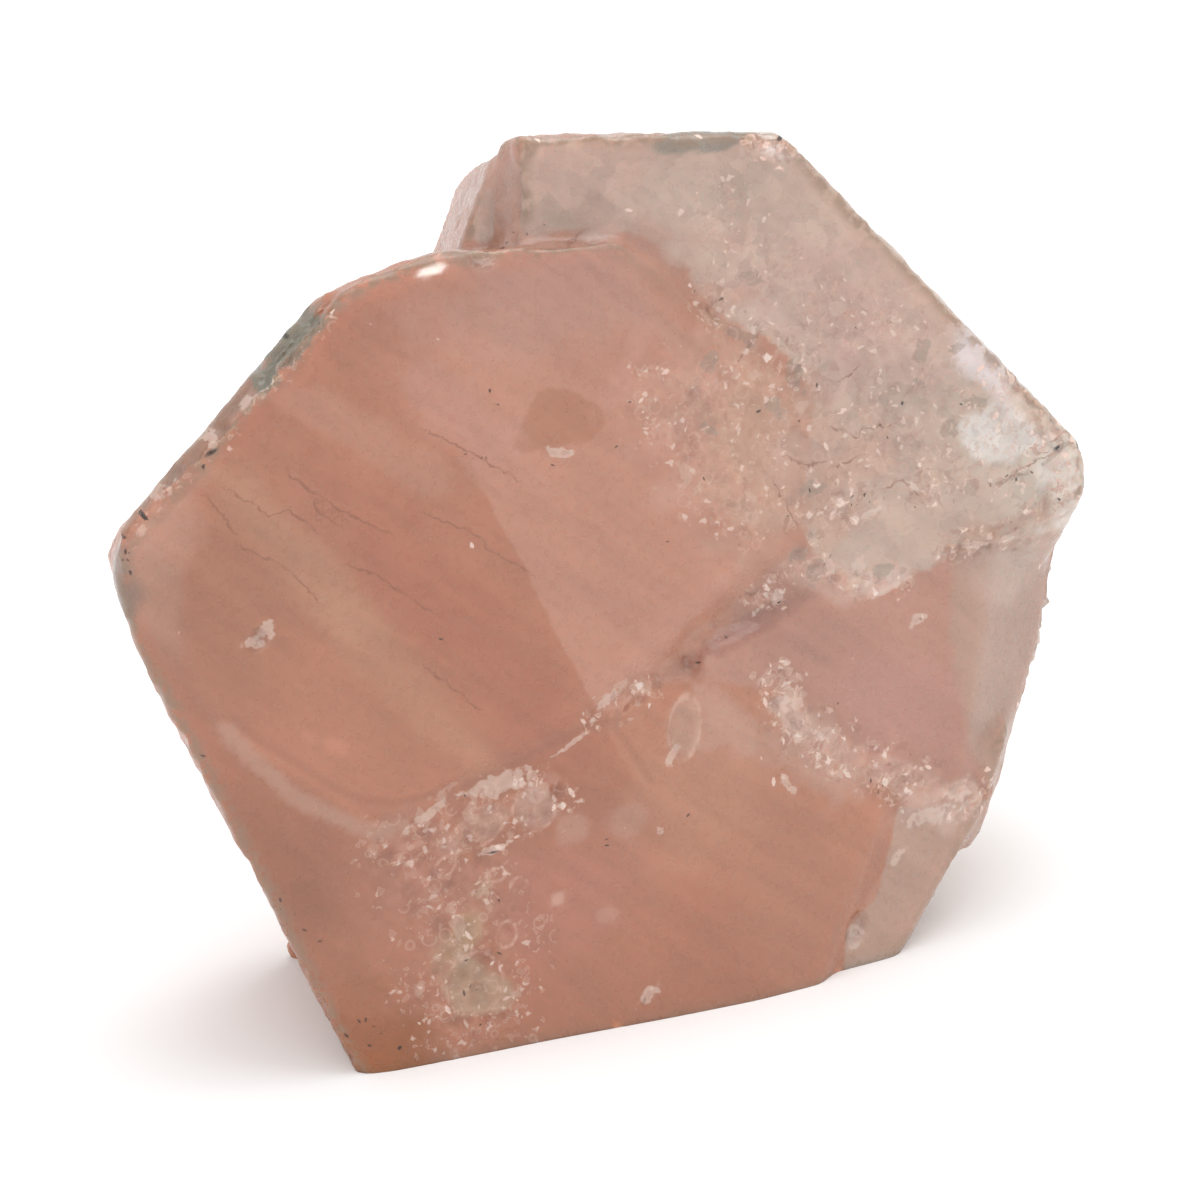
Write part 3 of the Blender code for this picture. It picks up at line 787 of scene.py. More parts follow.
# Cleavage faces: what sets one's tilt apart from the next one's, how far they tilt and how far they step.
SPLINTER_SEED = 13.7
SPLINTER_TILT = 1.6
SPLINTER_STEP = 0.5

# Depths of the fine relief in the etched bands, in millimetres.
FINE_SPLINTER = 0.1
FINE_CRATER = 0.07
FINE_GRAIN = 0.04

# Etched bands: how fast they set in from their edge, how ragged it is, and how far it and their tones reach.
BAND_ONSET = 1.6
BAND_RAGGED = 0.45
BAND_REACH = 1.5
BAND_HALO = 1.35

# How far a normal has to lean along W to start counting as end face or as back, and how fast it sets in.
FRONT_LEAN = 0.35
BACK_LEAN = 0.45
LEAN_ONSET = 4.0

# Normals past this lean belong to the faces that get the finer mesh.
FINE_MESH_LEAN = 0.25

# Lightness of the broad veils and of the blotches in the rear prism, and the veils' limit.
VEIL_TONE = 0.1
VEIL_LIMIT = 0.7
BLOTCH_TONE = 0.05


def crater(point: Vector, size: float) -> float:
    """Return the relief of rounded craters.

    Args:
        point: u, v, w in millimetres.
        size: a crater's width in millimetres.

    Returns:
        A height from -1 on a crater's floor to 0.4 on the rims between craters.
    """
    distances, _ = noise.voronoi(point / size)
    rim = min(1.0, (distances[1] - distances[0]) * CRATER_WALL)
    return CRATER_RIM - (1.0 + CRATER_RIM) * fade(rim)


def splinters(point: Vector, size: float) -> float:
    """Return the relief of small tilted cleavage faces.

    Args:
        point: u, v, w in millimetres.
        size: a face's width in millimetres.

    Returns:
        A height from about -1 to 1.
    """
    _, centres = noise.voronoi(point / size)
    tilt = noise.cell_vector(centres[0] * SPLINTER_SEED) * 2.0 - Vector((1.0, 1.0, 1.0))
    return SPLINTER_TILT * (point / size - centres[0]).dot(tilt) + SPLINTER_STEP * tilt.x


def band_height(band: EtchedBand, point: Vector) -> float:
    """Return the height of a band's relief at its full strength.

    Args:
        band: the band of etching.
        point: u, v, w in millimetres.

    Returns:
        The height in millimetres.
    """
    height = band.depth * crater(point, band.crater)
    if band.kind is Etch.CHIPPED:
        return height + FINE_SPLINTER * splinters(point, 1.0)
    pits = FINE_CRATER * crater(point + Vector((5, 1, 2)), 0.9)
    return height + pits + FINE_GRAIN * noise.noise(point * 2.6)


@dataclass(frozen=True)
class Relief:
    """Depths of the relief outside the etched bands, in millimetres."""

    swell: float = 0.1
    groove: float = 0.22
    pitting: float = 0.24
    ripple: float = 0.1
    grain: float = 0.04
    nick: float = 0.3
    ledge: float = 0.5
    torn: float = 0.16
    splinter: float = 0.08

    def swell_height(self, point: Vector) -> float:
        """Return the height of the broad swelling that every face has."""
        return self.swell * noise.noise(point * 0.13)

    def flank_height(self, point: Vector) -> float:
        """Return the height of the prism faces: grooves along W, pitting, and nicks near the front.

        Args:
            point: u, v, w in millimetres.

        Returns:
            The height in millimetres.
        """
        groove = noise.noise(Vector((point.x * 0.55, point.y * 0.55, point.z * 0.07)))
        pitting = crater(point, 3.0) * fade(noise.noise(point * 0.14 + Vector((7, 3, 5))) * 3.0)
        grain = noise.noise(Vector((point.x * 2.2, point.y * 2.2, point.z * 0.5)))
        behind = min(1.0, max(0.2, -point.z / 8.0))
        nick = fade(3.0 * noise.noise(point * 0.55 + Vector((2, 9, 4))) - 0.4) * fade((5.0 + point.z) / 4.0)
        coarse = behind * (self.groove * groove + self.pitting * pitting)
        return coarse + self.grain * grain + self.ripple * noise.noise(point * 1.1) - self.nick * nick

    def back_height(self, point: Vector) -> float:
        """Return the height of the broken back: flat ledges in steps, with torn edges between them.

        Args:
            point: u, v, w in millimetres.

        Returns:
            The height in millimetres.
        """
        ledges = 5.0 * noise.fractal(point * 0.07 + Vector((3, 11, 2)), 1.0, 2.0, 3)
        step = math.floor(ledges) + fade((ledges - math.floor(ledges)) * 4.0)
        torn = self.torn * noise.noise(point * 0.5)
        return self.ledge * step + torn + self.splinter * splinters(point, 1.8)


@dataclass
class CrystalSkin:
    """The whole specimen as one closed, finely etched skin."""

    fuse_voxel: float = 0.5
    wear_passes: int = 2
    blocks: tuple[Block, ...] = BLOCKS
    bands: tuple[EtchedBand, ...] = ETCHED_BANDS
    scoops: tuple[Scoop, ...] = SCOOPS
    relief: Relief = Relief()

    def fused(self) -> bpy.types.Mesh:
        """Grow all blocks together.

        Returns:
            Their mesh, with an even skin of small faces.
        """
        gathered = bpy.data.meshes.new("blocks")
        bm = bmesh.new()
        for block in self.blocks:
            piece = block.mesh()
            holder = bpy.data.meshes.new(block.name)
            piece.to_mesh(holder)
            piece.free()
            bm.from_mesh(holder)
            bpy.data.meshes.remove(holder)
        bm.to_mesh(gathered)
        bm.free()
        maker = bpy.data.objects.new("blocks", gathered)
        bpy.context.scene.collection.objects.link(maker)
        remesh = maker.modifiers.new("fuse", "REMESH")
        remesh.mode = "VOXEL"
        remesh.voxel_size = self.fuse_voxel
        graph = bpy.context.evaluated_depsgraph_get()
        mesh = bpy.data.meshes.new_from_object(maker.evaluated_get(graph))
        bpy.data.objects.remove(maker)
        bpy.data.meshes.remove(gathered)
        return mesh

    def worn(self, mesh: bpy.types.Mesh) -> bmesh.types.BMesh:
        """Smooth the voxel skin and give the etched places a finer mesh.

        Args:
            mesh: the fused blocks.

        Returns:
            The smoothed bmesh, still in the crystal's frame.
        """
        bm = bmesh.new()
        bm.from_mesh(mesh)
        axes = {"use_axis_x": True, "use_axis_y": True, "use_axis_z": True}
        for _ in range(self.wear_passes):
            bmesh.ops.smooth_vert(bm, verts=bm.verts, factor=0.5, **axes)
        bm.normal_update()
        edge = bm.verts.layers.float.new("edge")
        for vertex in bm.verts:
            ring = [link.other_vert(vertex).co for link in vertex.link_edges]
            vertex[edge] = (vertex.co - sum(ring, Vector()) / len(ring)).dot(vertex.normal)
        chosen = {link for face in bm.faces if face.normal.z > FINE_MESH_LEAN for link in face.edges}
        bmesh.ops.subdivide_edges(bm, edges=list(chosen), cuts=1, use_grid_fill=True)
        bm.normal_update()
        return bm

    def roughness_share(self, points: np.ndarray, kind: Etch | None = None) -> np.ndarray:
        """Return how strongly each point is etched, from 0 to 1.

        Args:
            points: rows of u, v, w.
            kind: the only kind of etching that counts, or None for every kind.

        Returns:
            One share per point.
        """
        share = np.zeros(len(points))
        for band in self.bands:
            if kind in (None, band.kind):
                inside = 1.0 - band.distance(points) / (BAND_HALO * band.half_width)
                share = np.maximum(share, BAND_ONSET * inside)
        return np.clip(share, 0.0, 1.0)

    def end_relief(self, points: np.ndarray) -> np.ndarray:
        """Return the height of etching and chips on the end faces.

        Args:
            points: rows of u, v, w.

        Returns:
            One height per point, in millimetres.
        """
        heights = np.zeros(len(points))
        for band in self.bands:
            distances = band.distance(points)
            for index in np.flatnonzero(distances < band.half_width * BAND_REACH):
                point = Vector(points[index])
                ragged = 1.0 + BAND_RAGGED * noise.noise(point * 0.5)
                strength = fade(BAND_ONSET * (1.0 - distances[index] / (band.half_width * ragged)))
                if strength > 0.0:
                    heights[index] += strength * band_height(band, point)
        for scoop in self.scoops:
            heights -= scoop.drop(points)
        return heights

    def overlay(self, points: np.ndarray) -> np.ndarray:
        """Lay the soft patches over one another.

        Args:
            points: rows of u, v, w.

        Returns:
            Rows of premultiplied red, green and blue, and cover.
        """
        wander = veil(points, 0.5, (0, 0, 0), 1.0, 3) * 0.5
        overlay = np.zeros((len(points), 4))
        for patch in PATCHES:
            share = patch.share(points, wander)[:, None]
            overlay = overlay * (1.0 - share) + np.array(tint(patch.colour)) * share
        return overlay

    def clouding(self, points: np.ndarray) -> np.ndarray:
        """Return how much lighter or darker the veils and the rear prism's blotches make each point.

        Args:
            points: rows of u, v, w.

        Returns:
            One value around zero per point.
        """
        broad = veil(points, 0.12, (5, 2, 8), 1.0, 3)
        blotches = veil(points, 0.45, (1, 7, 3), 0.8, 4)
        rear = smooth_share(outline_depth(points, REAR_OUTLINE) / 2.0 + 0.5)
        veils = VEIL_TONE * np.clip(broad, -VEIL_LIMIT, VEIL_LIMIT)
        return veils + BLOTCH_TONE * rear * np.clip(blotches, -1.0, 1.0)

    def lift(self, points: np.ndarray, front: np.ndarray, back: np.ndarray) -> np.ndarray:
        """Return how far each vertex moves outwards, in millimetres.

        Args:
            points: rows of u, v, w.
            front: 1 on the end faces, 0 elsewhere.
            back: 1 on the broken back, 0 elsewhere.

        Returns:
            One height per point.
        """
        heights = front * self.end_relief(points)
        flank = 1.0 - front - back
        for index, row in enumerate(points):
            point = Vector(row)
            heights[index] += self.relief.swell_height(point)
            if back[index] > 0.0:
                heights[index] += back[index] * self.relief.back_height(point)
            if flank[index] > 0.0:
                heights[index] += flank[index] * self.relief.flank_height(point)
        return heights

    def notes(self, points: np.ndarray, front: np.ndarray) -> dict[str, np.ndarray]:
        """Work out what the shader needs to know about each point.

        Args:
            points: rows of u, v, w.
            front: 1 on the end faces, 0 elsewhere.

        Returns:
            One value per point, by attribute name.
        """
        crack_side, crack_near = crack_offsets(points)
        etched = self.roughness_share(points) * front
        chipped = self.roughness_share(points, Etch.CHIPPED)
        chips = nearest_share(points, PALE_CHIPS)
        fold_lines = [route_distance(points, route) for route in FOLD_LINES]
        found = {name: outline_depth(points, outline) for name, outline in OUTLINES.items()}
        rear = smooth_share(found["rear_zone"] / 3.0 + 0.8)
        reach = np.linalg.norm(points[:, :2] - np.array(FACE_MIDDLE), axis=1)
        return found | {
            "crack_side": crack_side,
            "crack_near": crack_near,
            "pale_chip": chips,
            "grey_spot": nearest_share(points, GREY_SPOTS),
            "green_glass": nearest_share(points, GREEN_GLASS),
            "bubble_rim": np.min([abs(mark.half_width * mark.share(points)) for mark in BUBBLES], axis=0),
            "black_pit": np.max([mark.half_width * mark.share(points) for mark in BLACK_PITS], axis=0),
            "pitted": smooth_share(2.5 * nearest_share(points, PITTED)),
            "fold_band": FOLD_BAND_REACH - route_distance(points, FOLD_ROUTE),
            "fold_line": FOLD_LINE_REACH - np.min(fold_lines, axis=0),
            "front": front,
            "etched": etched,
            "glitter": np.maximum(chipped, smooth_share(3.0 * chips)) * front,
            "cloud": self.clouding(points),
            "outer_rim_shade": RIM_SHADE_SHARE * smooth_share((reach - RIM_SHADE_START) / RIM_SHADE_WIDTH),
            "sugary": np.maximum(rear, etched) * front,
        }

    def etch(self, bm: bmesh.types.BMesh) -> None:
        """Move every vertex by the relief, and note what the shader needs to know about it.

        Args:
            bm: the smoothed skin, in the crystal's frame.
        """
        points = np.array([vertex.co for vertex in bm.verts])
        normals = np.array([vertex.normal for vertex in bm.verts])
        front = smooth_share((normals[:, 2] - FRONT_LEAN) * LEAN_ONSET)
        back = smooth_share((-normals[:, 2] - BACK_LEAN) * LEAN_ONSET)
        heights = self.lift(points, front, back)
        notes = self.notes(points, front) | {"relief": heights}
        layers = {name: bm.verts.layers.float.new(name) for name in notes}
        patches = bm.verts.layers.float_color.new("patches")
        overlay = self.overlay(points)
        for index, vertex in enumerate(bm.verts):
            vertex[patches] = overlay[index]
            for name, layer in layers.items():
                vertex[layer] = notes[name][index]
            vertex.co += vertex.normal * heights[index]

    def build(self) -> bpy.types.Object:
        """Build the finished skin, standing on its flat foot.

        Returns:
            The crystal's object, in metres, at the origin.
        """
        mesh = self.fused()
        bm = self.worn(mesh)
        self.etch(bm)
        bmesh.ops.transform(bm, matrix=crystal_matrix(), verts=bm.verts)
        cut(bm, Vector((0.0, 0.0, 0.0)), Vector((0.0, 0.0, -1.0)))
        bmesh.ops.triangulate(bm, faces=[face for face in bm.faces if len(face.verts) > 4])
        for face in bm.faces:
            face.smooth = abs(face.normal.z + 1.0) > 1e-4
        mesh.clear_geometry()
        bm.to_mesh(mesh)
        bm.free()
        mesh.name = "beryl_skin"
        crystal = bpy.data.objects.new("beryl_crystal", mesh)
        bpy.context.scene.collection.objects.link(crystal)
        return crystal


@dataclass(frozen=True)
class Graph:
    """Adds and wires the nodes of one tree; a value is a number, a colour or another node's socket."""

    tree: bpy.types.NodeTree

    def feed(self, socket: bpy.types.NodeSocket, value: Value) -> None:
        """Link a socket to its source, or set its number.

        Args:
            socket: the input to fill.
            value: what it gets.
        """
        if isinstance(value, bpy.types.NodeSocket):
            self.tree.links.new(value, socket)
        else:
            socket.default_value = value

    def add(self, kind: str, inputs: dict[str | int, Value], **settings: object) -> bpy.types.Node:
        """Add one node.

        Args:
            kind: the node's type name, without its ShaderNode prefix.
            inputs: values by socket name or place.
            settings: the node's own properties.

        Returns:
            The new node.
        """
        node = self.tree.nodes.new("ShaderNode" + kind)
        for name, setting in settings.items():
            setattr(node, name, setting)
        for name, value in inputs.items():
            self.feed(node.inputs[name], value)
        return node

    def math(self, operation: str, first: Value, second: Value = 0.0, clamp: bool = False) -> Value:
        """Return a Math node's result."""
        node = self.add("Math", {0: first, 1: second}, operation=operation, use_clamp=clamp)
        return node.outputs[0]

    def times(self, first: Value, second: Value) -> Value:
        """Return two values multiplied."""
        return self.math("MULTIPLY", first, second)

    def plus(self, first: Value, second: Value) -> Value:
        """Return two values added."""
        return self.math("ADD", first, second)

    def vector(self, operation: str, first: Value, second: Value = (0, 0, 0)) -> bpy.types.Node:
        """Return a Vector Math node."""
        return self.add("VectorMath", {0: first, 1: second}, operation=operation)

    def ramp(self, value: Value, start: float, end: float, low: float = 0.0, high: float = 1.0) -> Value:
        """Return a value's smooth step from start to end."""
        inputs = {"Value": value, "From Min": start, "From Max": end, "To Min": low, "To Max": high}
        return self.add("MapRange", inputs, interpolation_type="SMOOTHSTEP").outputs[0]

    def blend(self, share: Value, first: Value, second: Value, mode: str = "MIX") -> Value:
        """Return two colours mixed."""
        inputs = {"Factor": share, 6: first, 7: second}
        return self.add("Mix", inputs, data_type="RGBA", blend_type=mode).outputs[2]

    def noise(self, position: Value, scale: float, detail: float) -> Value:
        """Return a Noise texture's value."""
        return self.add("TexNoise", {"Vector": position, "Scale": scale, "Detail": detail}).outputs[0]

    def group(self, tree: bpy.types.NodeTree, inputs: dict[str, Value]) -> Value:
        """Place a node group and return its first output."""
        return self.add("Group", inputs, node_tree=tree).outputs[0]

    def attribute(self, name: str) -> Value:
        """Return a vertex attribute's value."""
        return self.add("Attribute", {}, attribute_name=name).outputs["Fac"]


GroupParts = tuple[bpy.types.NodeTree, Graph, bpy.types.Node, bpy.types.Node]


def make_group(name: str, inputs: dict[str, tuple[str, Value]], outputs: dict[str, str]) -> GroupParts:
    """Start a shader node group with named sockets.

    Args:
        name: the group's name.
        inputs: socket kind and default by name.
        outputs: socket kind by name.

    Returns:
        The group tree, its Graph, its input node and its output node.
    """
    tree = bpy.data.node_groups.new(name, "ShaderNodeTree")
    for label, (kind, default) in inputs.items():
        socket = tree.interface.new_socket(label, in_out="INPUT", socket_type=kind)
        socket.default_value = default
    for label, kind in outputs.items():
        tree.interface.new_socket(label, in_out="OUTPUT", socket_type=kind)
    return tree, Graph(tree), tree.nodes.new("NodeGroupInput"), tree.nodes.new("NodeGroupOutput")


NUMBER = "NodeSocketFloat"
VECTOR = "NodeSocketVector"


@dataclass(frozen=True)
class SoftBox:
    """A square soft box that faces the specimen: name, place and side in metres, and watts."""

    name: str
    place: Place
    side: float
    power: float

    def build(self, aim: Place) -> None:
        """Hang the soft box in its place.

        Args:
            aim: the point that it faces, in metres.
        """
        light = bpy.data.lights.new(self.name, "AREA")
        light.size = self.side
        light.energy = self.power
        lamp = bpy.data.objects.new(self.name, light)
        bpy.context.scene.collection.objects.link(lamp)
        lamp.location = self.place
        lamp.rotation_euler = (Vector(self.place) - Vector(aim)).to_track_quat("Z", "Y").to_euler()


@dataclass(frozen=True)
class Studio:
    """Paper table, soft light and the camera."""

    camera_from_origin_mm: Place = (-53.65, -218.38, 108.82)
    camera_azimuth: float = -14.0
    camera_elevation: float = 20.0
    camera_roll: float = 4.0
    lens: float = 126.43
    sensor: float = 36.0
    nearest_seen: float = 0.01
    paper: str = "fafafa"
    paper_size: float = 3.0
    paper_roughness: float = 0.9
    paper_sheen: float = 0.1
    world_strength: float = 0.98
    aim: Place = (0.0, 0.0, 0.025)
    lights: tuple[SoftBox, ...] = (
        SoftBox("key", (0.1, 0.1, 0.6), 0.5, 1.7),
        SoftBox("fill", (-0.12, -0.55, 0.35), 0.5, 0.65),
    )

    def add_camera(self) -> None:
        """Add the camera, level but for a slight roll."""
        azimuth, elevation = math.radians(self.camera_azimuth), math.radians(self.camera_elevation)
        flat = Vector((math.sin(azimuth), -math.cos(azimuth), 0.0)) * math.cos(elevation)
        back = flat + Vector((0.0, 0.0, math.sin(elevation)))
        right = (-back).cross(Vector((0.0, 0.0, 1.0))).normalized()
        facing = Matrix((right, back.cross(right), back)).transposed().to_4x4()
        camera = bpy.data.cameras.new("camera")
        camera.lens = self.lens
        camera.sensor_width = self.sensor
        camera.clip_start = self.nearest_seen
        holder = bpy.data.objects.new("camera", camera)
        bpy.context.scene.collection.objects.link(holder)
        place = Matrix.Translation((Vector(self.camera_from_origin_mm) + Vector(CRYSTAL_ORIGIN_MM)) * MM)
        holder.matrix_world = place @ facing @ Matrix.Rotation(-math.radians(self.camera_roll), 4, "Z")
        bpy.context.scene.camera = holder

    def add_floor(self) -> None:
        """Add the paper sheet that everything stands on."""
        bm = bmesh.new()
        bmesh.ops.create_grid(bm, x_segments=1, y_segments=1, size=self.paper_size)
        mesh = bpy.data.meshes.new("paper")
        bm.to_mesh(mesh)
        bm.free()
        floor = bpy.data.objects.new("paper", mesh)
        bpy.context.scene.collection.objects.link(floor)
        material = bpy.data.materials.new("paper")
        material.use_nodes = True
        shader = material.node_tree.nodes["Principled BSDF"]
        shader.inputs["Base Color"].default_value = tint(self.paper)
        shader.inputs["Roughness"].default_value = self.paper_roughness
        shader.inputs["Specular IOR Level"].default_value = self.paper_sheen
        mesh.materials.append(material)

    def build(self) -> None:
        """Set up world, floor, lights and camera."""
        scene = bpy.context.scene
        scene.view_settings.view_transform = "Standard"
        world = bpy.data.worlds.new("studio")
        world.use_nodes = True
        sky = world.node_tree.nodes["Background"]
        sky.inputs["Color"].default_value = (1.0, 1.0, 1.0, 1.0)
        sky.inputs["Strength"].default_value = self.world_strength
        scene.world = world
        self.add_floor()
        for light in self.lights:
            light.build(self.aim)
        self.add_camera()


class Shape(Enum):
    """The outline of a scattered speck."""

    DOT = "dot"
    FLAKE = "flake"
    RING = "ring"


def speckle_group(shape: Shape) -> bpy.types.NodeTree:
    """Build the group for scattered specks of one shape: soft dots, angular flakes or bubble rims.

    Args:
        shape: the outline of every speck.

    Returns:
        The group, with the specks' Mask and a Shade that differs from speck to speck.
    """
    inputs = {
        "Position": (VECTOR, (0, 0, 0)),
        "Spacing": (NUMBER, 1.0),
        "Size": (NUMBER, 0.2),
        "Stretch": (NUMBER, 1.0),
        "Share": (NUMBER, 0.5),
        "Softness": (NUMBER, 0.05),
    }
    label = "speckle_" + shape.value
    tree, graph, given, result = make_group(label, inputs, {"Mask": NUMBER, "Shade": NUMBER})
    spacing = graph.add("CombineXYZ", {axis: given.outputs["Spacing"] for axis in (0, 1, 2)}).outputs[0]
    spread = graph.vector("DIVIDE", given.outputs["Position"], spacing).outputs[0]
    cells = graph.add("TexVoronoi", {"Vector": spread, "Scale": 1.0, "Randomness": 1.0})
    chance = graph.add("SeparateColor", {0: cells.outputs["Color"]})
    wanted = graph.math("LESS_THAN", chance.outputs[0], given.outputs["Share"])
    distance = graph.times(cells.outputs["Distance"], given.outputs["Spacing"])
    size = graph.times(given.outputs["Size"], graph.plus(chance.outputs[1], 0.4))
    if shape is Shape.FLAKE:
        offset = graph.vector("SUBTRACT", spread, cells.outputs["Position"]).outputs[0]
        angle = graph.times(chance.outputs[2], math.tau)
        inputs = {"Vector": offset, "Angle": angle}
        turned = graph.add("VectorRotate", inputs, rotation_type="Z_AXIS").outputs[0]
        corners = graph.add("SeparateXYZ", {0: graph.vector("ABSOLUTE", turned).outputs[0]})
        width = graph.times(corners.outputs[1], given.outputs["Stretch"])
        slant = graph.times(corners.outputs[0], 0.6)
        distance = graph.math("MAXIMUM", graph.plus(width, slant), corners.outputs[0])
        distance = graph.math("MAXIMUM", distance, graph.times(corners.outputs[2], 0.7))
        distance = graph.times(distance, given.outputs["Spacing"])
        size = graph.times(size, graph.plus(chance.outputs[1], 0.3))
    inside = graph.math("SUBTRACT", size, distance)
    if shape is Shape.RING:
        inside = graph.math("SUBTRACT", 0.08, graph.math("ABSOLUTE", inside))
    edge = graph.math("DIVIDE", inside, given.outputs["Softness"], clamp=True)
    graph.feed(result.inputs["Mask"], graph.times(edge, wanted))
    graph.feed(result.inputs["Shade"], chance.outputs[2])
    return tree


def chip_group() -> bpy.types.NodeTree:
    """Build the group that picks a share of a surface's angular grains as chips.

    Returns:
        The group: the chips' Body, their Rim and single Glints as painted highlights, and Hollows as painted
            shade.
    """
    inputs = {"Position": (VECTOR, (0, 0, 0)), "Size": (NUMBER, 1.0), "Share": (NUMBER, 0.3)}
    outputs = {name: NUMBER for name in ("Body", "Rim", "Glint", "Hollow")}
    tree, graph, given, result = make_group("chips", inputs, outputs)
    scale = graph.math("DIVIDE", 1.0, given.outputs["Size"])
    inputs = {"Vector": given.outputs["Position"], "Scale": scale}
    cells = graph.add("TexVoronoi", inputs, distance="MANHATTAN")
    chance = graph.add("SeparateColor", {0: cells.outputs["Color"]}).outputs
    reach = graph.plus(cells.outputs["Distance"], graph.times(chance[1], 0.3))
    wanted = graph.math("LESS_THAN", chance[0], given.outputs["Share"])
    inside = graph.ramp(reach, 0.85, 0.78)
    # the rim and the glints are painted highlights, the hollows painted shade
    rim = graph.times(graph.ramp(reach, 0.6, 0.75), inside)
    glint = graph.math("LESS_THAN", chance[0], graph.times(given.outputs["Share"], 0.3))
    hollow_shade = graph.math("GREATER_THAN", chance[0], graph.math("SUBTRACT", 1.0, given.outputs["Share"]))
    graph.feed(result.inputs["Body"], graph.times(wanted, inside))
    graph.feed(result.inputs["Rim"], graph.times(wanted, rim))
    graph.feed(result.inputs["Glint"], graph.times(glint, graph.ramp(reach, 0.7, 0.62)))
    graph.feed(result.inputs["Hollow"], graph.times(hollow_shade, inside))
    return tree


def ragged_group() -> bpy.types.NodeTree:
    """Build the group that turns a depth in millimetres into a mask with a wandering edge.

    Returns:
        The group, with the Mask.
    """
    inputs = {
        "Depth": (NUMBER, 0.0),
        "Wander": (NUMBER, 0.0),
        "Raggedness": (NUMBER, 0.5),
        "Softness": (NUMBER, 0.1),
    }
    tree, graph, given, result = make_group("ragged_edge", inputs, {"Mask": NUMBER})
    wander = graph.times(given.outputs["Wander"], given.outputs["Raggedness"])
    depth = graph.plus(given.outputs["Depth"], wander)
    share = graph.math("DIVIDE", depth, given.outputs["Softness"])
    graph.feed(result.inputs["Mask"], graph.ramp(share, -0.5, 0.5))
    return tree


@dataclass(frozen=True)
class Zone:
    """A zone or mark with its own tone: the attribute with its depth, its rim and its strength."""

    attribute: str
    colour: str
    raggedness: float
    softness: float
    strength: float = 1.0


GROWTH_AND_SHADE_ZONES = (
    Zone("right_zone", "aa7f6f", 1.6, 0.8),
    Zone("rear_zone", "b49d8f", 2.6, 0.6),
    Zone("foot_zone", "ac8c7c", 0.9, 0.25),
    # painted shade in the shallow chip on the right end face
    Zone("shaded_zone", "a7745d", 0.7, 0.3),
)
LOWER_ZONE = Zone("lower_zone", "a36d56", 0.9, 0.4)
FOLD_ZONES = (
    Zone("fold_band", "ae8573", 0.7, 0.6, 0.75),
    Zone("fold_line", "8d5c49", 0.3, 0.4, 0.35),
)
MARK_ZONES = (
    Zone("green_glass", "696a5d", 1.2, 0.35, 0.85),
    Zone("grey_spot", "8e7f73", 3.0, 0.35, 0.5),
    Zone("pale_chip", "cfbaae", 3.2, 0.35, 0.5),
)


@dataclass(frozen=True)
class Speck:
    """Scattered specks: shape, tone, spacing, size, softness, and their share on four kinds of surface."""

    shape: Shape
    colour: str
    spacing: float
    size: float
    softness: float
    plain: float
    etched: float
    glittering: float
    pitted: float
    strength: float
    stretch: float = 1.0


SPECKS = (
    # soft bubbles, hollows and grains
    Speck(Shape.DOT, "b68c7c", 2.0, 0.55, 0.4, 0.02, 0.35, 0.1, 0.0, 0.35),
    Speck(Shape.FLAKE, "c4a99b", 1.4, 0.6, 0.2, 0.0, 0.2, 0.25, 0.0, 0.35, 1.4),
    Speck(Shape.RING, "c4a191", 1.1, 0.34, 0.1, 0.0, 0.7, 0.1, 0.0, 0.5),
    # painted glints: single bright specks
    Speck(Shape.FLAKE, "dcc3b7", 0.6, 0.22, 0.05, 0.004, 0.03, 0.1, 0.0, 0.8, 2.0),
    # near-black pits
    Speck(Shape.FLAKE, "2a120a", 0.4, 0.12, 0.05, 0.0015, 0.008, 0.02, 0.34, 0.8, 2.2),
)

# Pale and dark streaks: their turn, and how much finer they are across than along.
STREAK_TURN_DEG = 43.0
STREAK_SCALES = (0.13, 0.9, 0.5)

# How far apart the specks of one kind lie from those of the next in the noise.
SPECK_STEP = (3.1, 1.7, 7.3)


@dataclass(frozen=True)
class Chips:
    """Angular chips of one size in millimetres: share, contrast, and whether smooth craters have them."""

    size: float
    amount: float
    contrast: float
    in_craters: bool


CHIPS = (Chips(0.72, 0.6, 1.0, False), Chips(0.42, 0.6, 0.55, True))

# The parts of a chip: the chips group's output, its tone and its strength. Rim and Glint are painted
# highlights, Hollow is painted shade.
CHIP_PARTS = (
    ("Body", "c8aa9b", 0.3),
    ("Rim", "c8aa9b", 0.6),
    ("Glint", "e2cfc5", 0.7),
    ("Hollow", "8c6452", 0.28),
)


# The finest relief: depth of the ripples, then scale, detail and depth on plain and on etched faces.
RIPPLE_MM = 0.06
BUMPS = ((2.4, 3.0, 0.03, 0.1), (1.1, 0.0, 0.0, 0.2))

# How far a surface point is pushed about, and how strong grains, the painted highlights on ridges, the
# painted shade in hollows and pits come out.
PUSH_MM = 0.9
SUGAR_TONE = 0.15
RIDGE_HIGHLIGHT_TONE = 0.35
HOLLOW_SHADE_TONE = 0.16
PIT_TONE = 0.9


